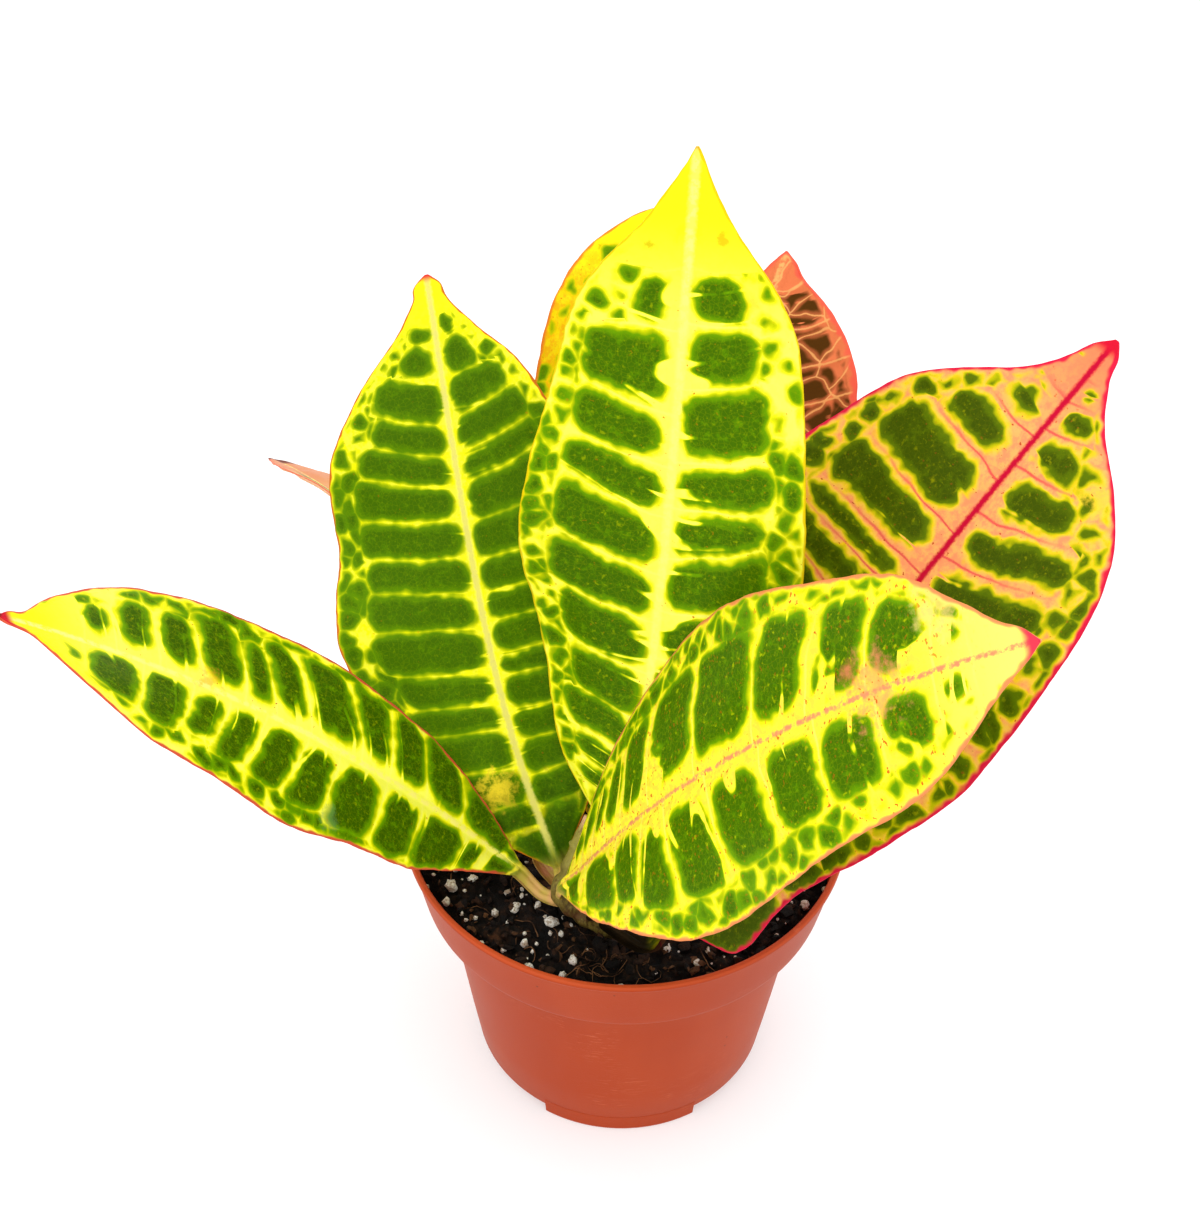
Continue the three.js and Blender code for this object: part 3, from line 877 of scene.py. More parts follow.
    def lateral(self, u: np.ndarray, v: np.ndarray) -> tuple[np.ndarray, ...]:
        """Finds where points lie among the laterals.

        Args:
            u: Shares of the blade's length.
            v: Shares of the half blade, negative on the right.

        Returns:
            The number of the vein before each plus the share to the next, the gap between
            these two veins, and the shares of the half blade between which the blotch lies.
        """
        out = np.abs(v)
        number, gap, begin, end = np.zeros((4, len(u)))
        for side, table in ((v >= 0, self.left), (v < 0, self.right)):
            rows = np.array(table)
            at_rib = np.append(rows[:, 0], PAST_TIP)
            lean = np.append(rows[:, 1], PAST_TIP) - at_rib
            for at in np.unique(np.round(out[side], 2)):
                here = side & (np.round(out, 2) == at)
                bowed = at_rib + lean * (at / OUTER_MARK) ** self.bow
                veins = np.maximum.accumulate(bowed + 0.0005 * np.arange(len(at_rib)))
                number[here] = np.interp(u[here], veins, np.arange(len(veins)))
                middles = (veins[1:] + veins[:-1]) / 2
                slant = np.cos(np.arctan2(lean[:-1] * self.length, SLANT_WIDTH))
                gap[here] = np.interp(u[here], middles, np.diff(veins) * self.length * slant)
            row = np.clip(number[side].astype(int), 0, len(rows) - 1)
            begin[side], end[side] = rows[row, 2], rows[row, 3]
        return number, gap, begin, end

    def spine(self, stem: "Stem") -> tuple[np.ndarray, ...]:
        """Finds what the rows of points share, from the stem to the tip.

        Args:
            stem: The stem that the leaf grows from.

        Returns:
            For every row the share of the blade's length, negative on the petiole, the half
            width, the middle, and unit vectors to the left and out of the upper face.
        """
        turn = np.linspace(0, TURN, self.rows + 1)
        on_blade = (turn - 0.3 * np.sin(turn)) / TURN
        share = np.linspace(0, 1, self.petiole_rows, endpoint=False)
        stalk, heading = self.petiole(stem, share)
        _, left, face = self.way(on_blade)
        stalk_left = left[0] - heading * (heading @ left[0])[:, None]
        stalk_left /= np.linalg.norm(stalk_left, axis=1)[:, None]
        swollen = 1 + 0.3 * np.exp(-(share / 0.12) ** 2) + 0.12 * np.exp(-((1 - share) / 0.2) ** 2)
        return (np.concatenate([(share - 1) * 0.1, on_blade]),
                np.concatenate([self.petiole_width * swollen, self.half_width(on_blade)]),
                np.concatenate([stalk, self.midrib(on_blade)]),
                np.concatenate([stalk_left, left]),
                np.concatenate([np.cross(heading, stalk_left), face]))

    def uneven(self, first: np.ndarray, second: np.ndarray) -> np.ndarray:
        """Soft noise of the leaf's own, from -1 to 1."""
        return np.array([noise.noise((a, b, self.paint.seed)) for a, b in zip(first, second)])

    def section(self, u: np.ndarray, side: np.ndarray, out: np.ndarray,
                width: np.ndarray) -> tuple[np.ndarray, np.ndarray]:
        """Folds, curls and waves the blade.

        Args:
            u: Shares of its length.
            side: 1 on the left, -1 on the right and 0 on the midrib.
            out: Shares of the half blade.
            width: Half its width.

        Returns:
            How far the points lie to the side of the midrib and over it.
        """
        fold, curl = math.radians(self.fold), math.radians(self.curl)
        across = width * (math.sin(fold) - np.sin(fold - curl * out)) / curl
        lift = width * (np.cos(fold - curl * out) - math.cos(fold)) / curl
        beat = np.sin(np.radians(360 * self.waves * u + self.phase + 75 * (side > 0)))
        return side * across, lift + self.wave * beat * out**2 * np.sin(np.pi * u)

    def close(self, bm: bmesh.types.BMesh, under: np.ndarray) -> None:
        """Adds the under face and joins it to the upper one along the margin.

        Args:
            bm: The upper face.
            under: Where its points come to lie on the under face, in their order.
        """
        vein_key = bm.verts.layers.float_vector["laterals"]
        order = {vert: i for i, vert in enumerate(bm.verts)}
        lower = bmesh.ops.duplicate(bm, geom=bm.verts[:] + bm.edges[:] + bm.faces[:])
        for vert, copy in list(lower["vert_map"].items()):
            if vert in order:
                copy.co = under[order[vert]]
                copy[vein_key] = (*copy[vein_key][:2], Face.UNDER.value)
        bmesh.ops.reverse_faces(bm, faces=[
            item for item in lower["geom"] if isinstance(item, bmesh.types.BMFace)])
        bmesh.ops.bridge_loops(bm, edges=[edge for edge in bm.edges if edge.is_boundary])

    def build(self, stem: "Stem") -> bmesh.types.BMesh:
        """Makes the closed leaf, with its pattern's places on its points.

        Args:
            stem: The stem that it grows from.

        Returns:
            The mesh.
        """
        columns = 2 * (self.keel_columns + self.outer_columns)
        rows = self.petiole_rows + self.rows
        bm = bmesh.new()
        bmesh.ops.create_grid(bm, x_segments=rows, y_segments=columns, size=0.5)
        places = np.array([vert.co for vert in bm.verts])
        row = np.rint((places[:, 0] + 0.5) * rows).astype(int)
        column = np.rint((places[:, 1] + 0.5) * columns).astype(int)
        u, width, middle, left, face = (values[row] for values in self.spine(stem))
        on_rib = np.clip(u, 0, 1)
        keel = np.minimum(width, self.keel_reach)
        inner = np.minimum(self.keel_share * width, self.keel_reach)
        step = np.abs(column - columns // 2)
        beyond = np.clip((step - self.keel_columns) / self.outer_columns, 0, 1)
        offset = np.where(step <= self.keel_columns, inner * step / self.keel_columns,
                          inner + (width - inner) * beyond)
        side = np.sign(column - columns // 2).astype(float)
        v = side * offset / width
        out = np.abs(v)
        ragged = sum(self.uneven(on_rib * often, side * 3.1) * far for often, far in self.ragged)
        width = width * (1 + side * self.lopsided) + ragged * smooth(0.03, 0.1, on_rib) * out
        number, gap, begin, end = self.lateral(on_rib, v)
        across, lift = self.section(on_rib, side, out, width)

        to_vein = np.minimum(number % 1, 1 - number % 1) * gap
        from_rib = out * width
        on_blade = smooth(0.0, 0.07, u)
        fade = on_blade * smooth(1.0, 4.0, from_rib) * (1 - smooth(0.86, 0.98, out))
        quilt = self.quilting * (1 - np.exp(-to_vein ** 2)) * fade
        roll = self.uneven(on_rib * self.length / 9, v * width / 9) * self.rolling * fade
        channel = sum(rise * np.exp(-(from_rib / reach) ** 2) for rise, reach in self.channel)
        channel = channel * on_blade * (1 - 0.7 * on_rib)
        rounded = np.sqrt(np.clip(1 - (offset / keel) ** 2, 0, 1))
        stalk_top = (0.75 * keel * rounded
                     - 0.3 * np.exp(-(offset / 0.5) ** 2)) * (1 - on_blade)
        top = middle + left * across[:, None] + face * (lift + stalk_top)[:, None]
        out_of_face = normals(top, row, column)
        top = top + out_of_face * (quilt + roll + channel)[:, None]

        thick, thin = self.rib_depth
        rib = thick + (thin - thick) * np.sqrt(on_rib)
        blade = self.blade_depth + (self.margin_depth - self.blade_depth) * smooth(0.9, 1.0, out)
        depth = blade + (rib - blade) * rounded + 0.25 * np.exp(-(to_vein / 0.5) ** 2) * fade
        depth = depth * on_blade + (1.8 * keel * rounded + 0.06) * (1 - on_blade)

        blade_key, vein_key, blotch_key = (
            bm.verts.layers.float_vector.new(name) for name in ("blade", "laterals", "blotch"))
        for vert, point, *keys in zip(bm.verts, top, u, v, width, number, gap, begin, end):
            vert.co = point
            vert[blade_key] = keys[:3]
            vert[vein_key] = (*keys[3:5], Face.UPPER.value)
            vert[blotch_key] = (*keys[5:], 0.0)
        self.close(bm, top - out_of_face * depth[:, None])
        return outward(bm)

    def dress(self) -> bpy.types.Material:
        """Paints the leaf."""
        return LeafPainter(self.name, self.length, self.paint).material()


# ------------------------------------------------------------------ stem


@dataclass(frozen=True)
class BarkFinish:
    """Olive-brown bark, paler and greener towards the tip, with brown scars and a pink bud."""

    dark: Rgb = shade(84, 66, 30)
    light: Rgb = shade(140, 124, 62)
    young: Rgb = shade(168, 158, 84)
    scar: Rgb = shade(104, 70, 44)
    bud: Rgb = shade(224, 178, 140)


@dataclass
class Stem:
    """The short leaning stem with its leaf scars and the bud at its top."""

    line: tuple[Place, ...] = (
        (2, -32, 44), (0, -31.5, 60), (-4, -30.5, 69), (-10, -29, 73.5), (-14, -27.5, 77.5),
        (-12.3, -25.7, 81.5), (-10.5, -23.5, 86), (-9.5, -21.5, 90), (-9, -20.5, 95))
    radius: float = 2.3
    foot_radius: float = 2.8
    soil_top: float = 68.8
    scar: float = 0.45
    scar_height: float = 0.9
    tip_from: float = 88.0
    tip_radius: float = 0.5
    nodes: tuple[float, ...] = (77, 79.5, 83, 78.5, 72.5, 83.5, 88, 75)
    rows: int = 150
    sides: int = 36
    finish: BarkFinish = BarkFinish()

    def points(self, steps: int = 24) -> np.ndarray:
        """Draws the centre line as a smooth curve through the given points.

        Args:
            steps: How many points are made between two of the given ones.

        Returns:
            The points.
        """
        given = np.array(self.line, float)
        given = np.concatenate([[2 * given[0] - given[1]], given, [2 * given[-1] - given[-2]]])
        knots = np.concatenate([[0], np.cumsum(
            np.sqrt(np.linalg.norm(np.diff(given, axis=0), axis=1)))])
        made = []
        for i in range(1, len(given) - 2):
            knot = knots[i - 1:i + 3]
            for t in np.linspace(knot[1], knot[2], steps, endpoint=False):
                level = given[i - 1:i + 3]
                for spans in (((0, 1), (1, 2), (2, 3)), ((0, 2), (1, 3)), ((1, 2),)):
                    level = [(knot[b] - t) / (knot[b] - knot[a]) * level[j]
                             + (t - knot[a]) / (knot[b] - knot[a]) * level[j + 1]
                             for j, (a, b) in enumerate(spans)]
                made.append(level[0])
        return np.array([*made, given[-2]])

    def at_height(self, z: float) -> tuple[np.ndarray, np.ndarray]:
        """Finds the stem's middle at a height.

        Args:
            z: The height.

        Returns:
            The point and the way that the stem runs there.
        """
        line = self.points()
        i = int(np.argmax(line[:, 2] >= z))
        share = (z - line[i - 1, 2]) / (line[i, 2] - line[i - 1, 2])
        way = line[i] - line[i - 1]
        return line[i - 1] + way * share, way / np.linalg.norm(way)

    def radius_at(self, z: float) -> float:
        """Finds the stem's radius, with the swelling under each leaf.

        Args:
            z: The height.

        Returns:
            The radius.
        """
        if z > self.tip_from:
            share = (z - self.tip_from) / (self.line[-1][2] - self.tip_from)
            return self.radius + (self.tip_radius - self.radius) * share
        buried = min(max((self.soil_top - z) / 10, 0.0), 1.0)
        swell = max(math.exp(-((z - node) / self.scar_height) ** 2) for node in self.nodes)
        return self.radius + (self.foot_radius - self.radius) * buried + self.scar * swell

    def build(self) -> bmesh.types.BMesh:
        """Makes the stem from rings along its line.

        Returns:
            The closed mesh.
        """
        line = self.points()
        reach = np.concatenate([[0], np.cumsum(np.linalg.norm(np.diff(line, axis=0), axis=1))])
        marks = np.linspace(0.4, reach[-1], self.rows)
        line = np.stack([np.interp(marks, reach, line[:, axis]) for axis in range(3)], -1)
        rings = []
        for centre, way in zip(line, np.gradient(line, axis=0)):
            way = Vector(way).normalized()
            side = Vector((0, 1, 0)).cross(way).normalized()
            front = way.cross(side)
            size = self.radius_at(centre[2])
            ring = []
            for i in range(self.sides):
                x, y = math.cos(TURN * i / self.sides), math.sin(TURN * i / self.sides)
                bark = noise.noise((x * 1.2, y * 1.2, centre[2] * 0.5)) * 0.16
                crack = noise.noise((x * 4, y * 4, centre[2] * 0.35)) * 0.08
                ring.append(Vector(centre) + (side * x + front * y) * (size * (1 + bark + crack)))
            rings.append(ring)
        bm = bmesh.new()
        tube(bm, rings)
        return outward(bm)

    def dress(self) -> bpy.types.Material:
        """Paints the bark.

        Returns:
            The material.
        """
        g, look = Graph("stem_bark"), self.finish
        z = g.height()
        flecks = g.cloud(g.place((1, 1, 0.35)), 900.0, 4.0, 0.7)
        patches = g.cloud(g.place(), 260.0, 3.0)
        bark = g.coats(
            g.blend(flecks.rise(0.35, 0.65), look.dark, look.light),
            (z.rise(0.076, 0.09), look.young),
            (patches.rise(0.56, 0.66) * 0.7, look.scar),
            (z.rise(0.091, 0.095), look.bud))
        return g.finish(bark, 0.55 + (flecks - 0.5) * 0.3, g.bump(flecks, 0.0004), gloss=0.3)


# ------------------------------------------------------------------ soil


@dataclass(frozen=True)
class SoilFinish:
    """Moist, nearly black peat with brown bark in it, chalky grains and light brown fibres."""

    peat: tuple[Rgb, Rgb] = (shade(12, 7, 4), shade(58, 38, 24))
    bark: Rgb = shade(92, 60, 38)
    chip: Rgb = shade(150, 116, 82)
    # Painted shade: the near-black laid over the soil's hollows, and the heights over which it
    # fades out.
    painted_hollow_shade: Rgb = shade(5, 3, 2)
    painted_shade_heights: tuple[float, float] = (0.0679, 0.0695)
    crumbs: tuple[tuple[float, Rgb], ...] = (
        (0.0, shade(8, 5, 3)), (0.5, shade(26, 15, 9)), (0.8, shade(66, 42, 26)),
        (1.0, shade(124, 88, 56)))
    crumb_dust: Rgb = shade(14, 8, 5)
    chalk: tuple[Rgb, Rgb] = (shade(186, 168, 142), shade(252, 248, 238))
    stain: Rgb = shade(160, 128, 94)
    fibre: tuple[Rgb, Rgb] = (shade(54, 34, 20), shade(136, 100, 68))


@dataclass
class Soil:
    """The filling of the pot: a crumbly body with lumps, white grains and root fibres."""

    top: float = 68.6
    radius: float = 49.0
    steps: int = 320
    ring: float = 0.6
    relief: tuple[tuple[float, Place, float], ...] = (
        (13, (0, 0, 0), 1.0), (4.2, (7, 3, 1), 1.5), (1.6, (2, 9, 4), 0.9))
    sides: tuple[tuple[float, float], ...] = (
        (47.8, 62.0), (47.0, 59.4), (42.3, 59.2), (42.0, 57.0), (35.0, 5.5), (0, 5.5))
    seed: int = 11
    scatter_reach: float = 47.5
    lumps: int = 1500
    grains: int = 260
    large_grain: float = 0.9
    fibres: int = 150
    fibre_reach: float = 44.0
    fibre_end: float = 47.0
    fibre_step: float = 0.8
    tuft: tuple[float, float] = (-3.5, -40.5)
    tuft_spread: tuple[float, float] = (3.2, 1.5)
    tuft_curl: float = 2.2
    tuft_fibres: int = 22
    marked_grains: tuple[Place, ...] = ()
    finish: SoilFinish = SoilFinish()

    def height(self, x: float, y: float) -> float:
        """Finds the height of the crumbly surface.

        Args:
            x: A place on the soil.
            y: The same.

        Returns:
            The height there.
        """
        z = self.top
        for size, shift, rise in self.relief:
            z += noise.noise(Vector((x, y, 0)) / size + Vector(shift)) * rise
        return z

    def build(self) -> bmesh.types.BMesh:
        """Spins the filling and roughens its top.

        Returns:
            The closed mesh.
        """
        rings = round(self.radius / self.ring)
        profile = [(self.radius * i / rings, self.top) for i in range(rings + 1)]
        bm = spun([*profile, *self.sides], self.steps)
        for vert in bm.verts:
            if vert.co.z > self.top - 0.1:
                settle = 0.8 * smooth(44.0, 49.0, math.hypot(vert.co.x, vert.co.y))
                vert.co.z = self.height(vert.co.x, vert.co.y) - settle
        return outward(bm)

    def scatter(self, chooser: random.Random, reach: float) -> tuple[float, float]:
        """Chooses a place on the soil.

        Args:
            chooser: Where its chance comes from.
            reach: How far from the middle it may lie.

        Returns:
            The place.
        """
        distance = reach * math.sqrt(chooser.random())
        angle = TURN * chooser.random()
        return distance * math.cos(angle), distance * math.sin(angle)

    def lump(self, bm: bmesh.types.BMesh, place: Vector, sizes: Vector, spin: Euler,
             finer: int, jag: float, chooser: random.Random) -> None:
        """Adds one uneven lump.

        Args:
            bm: The mesh that it joins.
            place: Its middle.
            sizes: Its three radii.
            spin: How it lies.
            finer: How finely the ball is divided.
            jag: How uneven it is.
            chooser: Where its chance comes from.
        """
        ball = bmesh.ops.create_icosphere(bm, subdivisions=finer, radius=1)["verts"]
        shift = Vector((chooser.random(), chooser.random(), chooser.random())) * 50
        for vert in ball:
            vert.co *= 1 + jag * noise.noise(vert.co * 1.7 + shift)
        matrix = (Matrix.Translation(place) @ spin.to_matrix().to_4x4()
                  @ Matrix.Diagonal((*sizes, 1)))
        bmesh.ops.transform(bm, matrix=matrix, verts=ball)

    def build_lumps(self) -> bmesh.types.BMesh:
        """Scatters bark crumbs and peat clods.

        Returns:
            All of them in one mesh.
        """
        chooser = random.Random(self.seed)
        bm = bmesh.new()
        for _ in range(self.lumps):
            x, y = self.scatter(chooser, self.scatter_reach)
            size = 0.5 + 1.9 * chooser.random() ** 2.6
            sizes = Vector((size, size * (0.4 + 0.5 * chooser.random()),
                            size * (0.3 + 0.4 * chooser.random())))
            place = Vector((x, y, self.height(x, y) + 0.15 * size))
            spin = Euler([chooser.uniform(-0.9, 0.9), chooser.uniform(-0.9, 0.9),
                          chooser.uniform(0, 6.28)])
            self.lump(bm, place, sizes, spin, 1, 0.7, chooser)
        return bm

    def build_grains(self) -> bmesh.types.BMesh:
        """Lays white mineral grains: large ones at the marked places, the rest by chance.

        Returns:
            All of them in one mesh.
        """
        chooser = random.Random(self.seed + 1)
        bm = bmesh.new()
        spots = list(self.marked_grains)
        for _ in range(self.grains):
            x, y = self.scatter(chooser, self.scatter_reach)
            spots.append((x, y, 0.3 + 0.95 * chooser.random() ** 3))
        for x, y, size in spots:
            sizes = Vector((size, size * chooser.uniform(0.75, 1),
                            size * chooser.uniform(0.7, 0.95)))
            place = Vector((x, y, self.height(x, y) + 0.35 * size))
            spin = Euler([chooser.uniform(0, 6.28) for _ in range(3)])
            finer = 2 if size > self.large_grain else 1
            self.lump(bm, place, sizes, spin, finer, 0.55, chooser)
        smooth_faces(bm)
        return bm

    def build_fibres(self) -> bmesh.types.BMesh:
        """Lays thin curled root fibres on the soil, and a tuft of them at the front.

        Returns:
            All of them in one mesh.
        """
        chooser = random.Random(self.seed + 2)
        bm = bmesh.new()
        for number in range(self.fibres + self.tuft_fibres):
            x, y = self.scatter(chooser, self.fibre_reach)
            curve = chooser.uniform(-0.35, 0.35)
            if number >= self.fibres:
                x, y = map(chooser.gauss, self.tuft, self.tuft_spread)
                curve *= self.tuft_curl
            heading = chooser.uniform(0, 6.28)
            thick = chooser.uniform(0.08, 0.19)
            rise = chooser.uniform(0.1, 0.9)
            count = chooser.randint(7, 14)
            rings = []
            for i in range(count):
                way = Vector((math.cos(heading), math.sin(heading), 0))
                across = Vector((-way.y, way.x, 0))
                lift = rise * math.sin(math.pi * i / (count - 1))
                middle = Vector((x, y, self.height(x, y) + 0.25 + lift))
                taper = thick * (1 - 0.5 * i / count)
                rings.append([middle + across * (taper * math.cos(math.pi / 2 * k))
                              + Vector((0, 0, taper * math.sin(math.pi / 2 * k)))
                              for k in range(4)])
                x += way.x * self.fibre_step
                y += way.y * self.fibre_step
                heading += curve + chooser.uniform(-0.25, 0.25)
                if math.hypot(x, y) > self.fibre_end:
                    break
            tube(bm, rings)
        return outward(bm)

    def dress(self) -> bpy.types.Material:
        """Paints the body, with painted shade darkening its hollows.

        Returns:
            The material.
        """
        g, look = Graph("potting_mix"), self.finish
        where = g.place()
        clods = g.cloud(where, 520.0, 5.0, 0.7)
        bark = g.cloud(where, 170.0, 3.0, 0.6)
        specks = g.cells(where, 700.0)
        # Painted shade: the lower the surface lies, the more it is darkened towards black, where
        # shade falls between the clumps.
        painted_hollow_shade = 1.0 - (g.height() + (clods - 0.5) * 0.0016).rise(*look.painted_shade_heights)
        soil = g.coats(
            g.blend(clods.rise(0.38, 0.7), *look.peat),
            (bark.rise(0.58, 0.7) * 0.8, look.bark),
            ((1.0 - specks.rise(0.08, 0.2)) * clods.rise(0.5, 0.6), look.chip),
            (painted_hollow_shade * 0.93, look.painted_hollow_shade))
        dull = 0.7 + (clods - 0.5) * 0.5
        return g.finish(soil, dull, g.bump(clods + specks * 0.4, 0.0012), gloss=0.25)

    def dress_lumps(self) -> bpy.types.Material:
        """Paints the crumbs, each in its own brown.

        Returns:
            The material.
        """
        g, look = Graph("bark_crumbs"), self.finish
        luck, _, _ = g.split(g.cells(g.place(), 330.0, "Color"))
        fine = g.cloud(g.place(), 1300.0, 4.0, 0.7)
        brown = g.blend(fine.rise(0.4, 0.75) * 0.7, g.ramp(luck, look.crumbs), look.crumb_dust)
        return g.finish(brown, 0.65 + (fine - 0.5) * 0.4, g.bump(fine, 0.0006), gloss=0.3)

    def dress_grains(self) -> bpy.types.Material:
        """Paints the grains chalky white, stained brown in places.

        Returns:
            The material.
        """
        g, look = Graph("white_grains"), self.finish
        pits = g.cloud(g.place(), 1500.0, 4.0, 0.75)
        stain = g.cloud(g.place(), 380.0, 3.0)
        white = g.coats(g.blend(pits.rise(0.36, 0.54), *look.chalk),
                        (stain.rise(0.56, 0.7) * 0.7, look.stain))
        return g.finish(white, 0.9, g.bump(pits, 0.0006), gloss=0.2)

    def dress_fibres(self) -> bpy.types.Material:
        """Paints the fibres in two browns.

        Returns:
            The material.
        """
        g = Graph("root_fibres")
        tone = g.cloud(g.place(), 300.0).rise(0.35, 0.65)
        return g.finish(g.blend(tone, *self.finish.fibre), 0.7, gloss=0.3)


# ------------------------------------------------------------------ pot


@dataclass(frozen=True)
class PlasticFinish:
    """Satin terracotta-coloured plastic with flow lines, scuffs and dust, and a painted highlight
    along the lip.
    """

    plain: tuple[Rgb, Rgb] = (shade(168, 62, 17), shade(175, 68, 22))
    flow: Rgb = shade(184, 80, 38)
    scuff: Rgb = shade(222, 136, 104)
    # Painted highlight: the lighter plastic along the top of the lip, and the heights where it
    # begins.
    lip: Rgb = shade(206, 98, 58)
    lip_heights: tuple[float, float] = (0.0741, 0.0748)
    dirt: Rgb = shade(96, 40, 24)


@dataclass
class Pot:
    """The thin plastic nursery pot: lip, collar, tapered body, raised floor and three feet."""

    height: float = 75.0
    rim: float = 52.0
    steps: int = 192
    foot_inside: float = 33.1
    foot_outside: float = 36.5
    foot_steps: int = 40
    floor_under: float = 3.3
    floor_top: float = 4.9
    drain_ring: float = 26.0
    drain_radius: float = 4.0
    drain_steps: int = 40
    feet: int = 3
    foot_arc: float = 60.0
    first_foot: float = -90.0
    finish: PlasticFinish = PlasticFinish()

    def profile(self) -> list[tuple[float, float]]:
        """Draws the wall's section, from the floor's underside out, up and back down.

        Returns:
            Its points, as radius and height.
        """
        rim, top = self.rim, self.height
        return [
            (self.foot_inside, self.floor_under), (35.9, self.floor_under),
            (36.45, 3.45), (36.7, 4.0), (38.5, 17.0), (40.3, 31.0), (42.2, 45.0),
            (43.75, 56.4), (43.95, 57.1), (44.5, 57.5), (47.4, 57.55), (48.1, 57.7),
            (48.55, 58.2), (48.75, 59.0), (49.5, 63.0), (50.4, 68.0), (51.3, 72.7),
            (51.42, 73.2), (51.75, 73.45), (51.97, 73.8), (rim, 74.3), (51.88, 74.75),
            (51.6, top), (51.1, top), (50.7, 74.85), (50.45, 74.5), (49.9, 71.0),
            (48.6, 64.5), (47.5, 59.6), (47.1, 59.05), (46.4, 58.9), (43.2, 58.85),
            (42.8, 58.6), (42.6, 58.0), (40.9, 45.0), (39.0, 31.0), (37.1, 17.0),
            (35.7, 6.2), (35.2, 5.2), (34.6, self.floor_top), (self.foot_inside, self.floor_top),
        ]

    def drains(self) -> list[Vector]:
        """Sets out the drain holes, one between each two feet.

        Returns:
            Their middles.
        """
        angles = (math.radians(self.first_foot + 360 / self.feet * (i + 0.5))
                  for i in range(self.feet))
        return [Vector((math.cos(a), math.sin(a), 0)) * self.drain_ring for a in angles]

    def floor(self, bm: bmesh.types.BMesh, z: float) -> None:
        """Fills the floor's disc round the drain holes.

        Args:
            bm: The mesh that it joins.
            z: The height of the disc.
        """
        made = []
        holes = [(middle, self.drain_radius, self.drain_steps) for middle in self.drains()]
        for middle, radius, steps in [(Vector(), self.foot_inside, self.steps), *holes]:
            place = Matrix.Translation(middle + Vector((0, 0, z)))
            made += edges_of(bmesh.ops.create_circle(
                bm, segments=steps, radius=radius, matrix=place)["verts"])
        bmesh.ops.triangle_fill(bm, use_beauty=True, use_dissolve=False, edges=made)

    def build(self) -> bmesh.types.BMesh:
        """Makes the whole pot: spun wall, pierced floor and feet.

        Returns:
            The closed mesh.
        """
        bm = spun(self.profile(), self.steps)
        for z in (self.floor_under, self.floor_top):
            self.floor(bm, z)
        bmesh.ops.remove_doubles(bm, verts=bm.verts, dist=1e-3)
        for middle in self.drains():
            hole = [edge for edge in bm.edges if edge.is_boundary
                    and (edge.verts[0].co.xy - middle.xy).length < self.drain_radius + 1]
            bmesh.ops.bridge_loops(bm, edges=hole)
        outward(bm)
        for face in bm.faces:
            if face.calc_center_median().length < self.foot_inside or abs(face.normal.z) > 0.99:
                face.smooth = False
        for i in range(self.feet):
            self.add_foot(bm, self.first_foot + 360 / self.feet * i)
        return bm

    def add_foot(self, bm: bmesh.types.BMesh, middle: float) -> None:
        """Adds one foot, an arc of the foot ring with rounded edges.

        Args:
            bm: The mesh that it joins.
            middle: The angle of its middle, in degrees.
        """
        inside, outside = self.foot_inside, self.foot_outside
        section = [(inside, 3.5), (inside, 0.3), (inside + 0.3, 0.0), (outside - 0.9, 0.0),
                   (outside - 0.55, 0.1), (outside - 0.25, 0.35), (outside - 0.1, 0.7),
                   (outside + 0.1, 2.6), (outside + 0.3, 4.3), (outside + 0.48, 5.8),
                   (outside - 0.6, 5.8), (outside - 0.6, 3.5), (inside, 3.5)]
        foot = spun(section, self.foot_steps, middle - self.foot_arc / 2, self.foot_arc)
        bmesh.ops.holes_fill(foot, edges=[edge for edge in foot.edges if edge.is_boundary])
        bmesh.ops.recalc_face_normals(foot, faces=foot.faces)
        mesh = meshed("foot", foot)
        bm.from_mesh(mesh)
        bpy.data.meshes.remove(mesh)

    def dress(self) -> bpy.types.Material:
        """Paints the moulded plastic.

        Returns:
            The material.
        """
        g, look = Graph("terracotta_plastic"), self.finish
        where = g.place()
        flow = g.cloud(g.place((1, 1, 0.12)), 70.0, 3.0)
        cloudy = g.cloud(where, 22.0, 3.0)
        scrape = g.cloud(g.place((1, 1, 9)), 260.0, 3.0, 0.7)
        scuff = scrape.rise(0.56, 0.66) * g.cloud(where, 38.0).rise(0.55, 0.66)
        dirt = (1.0 - g.cells(where, 240.0).rise(0.03, 0.09))
        plastic = g.coats(
            g.blend(cloudy.rise(0.3, 0.7), *look.plain),
            (flow.rise(0.45, 0.75) * 0.25, look.flow),
            (scuff * 0.42, look.scuff),
            # Painted highlight: a lighter band along the top of the lip.
            (g.height().rise(*look.lip_heights) * 0.55, look.lip),
            (dirt * g.cloud(where, 90.0, 1.0).rise(0.62, 0.66), look.dirt))
        dull = 0.42 + (cloudy - 0.5) * 0.12 + scuff * 0.2
        height = g.cloud(where, 2600.0) * 0.3 + flow * 0.7 - scuff * 0.3
        return g.finish(plastic, dull, g.bump(height, 0.00012), gloss=0.16)


# ------------------------------------------------------------------ studio


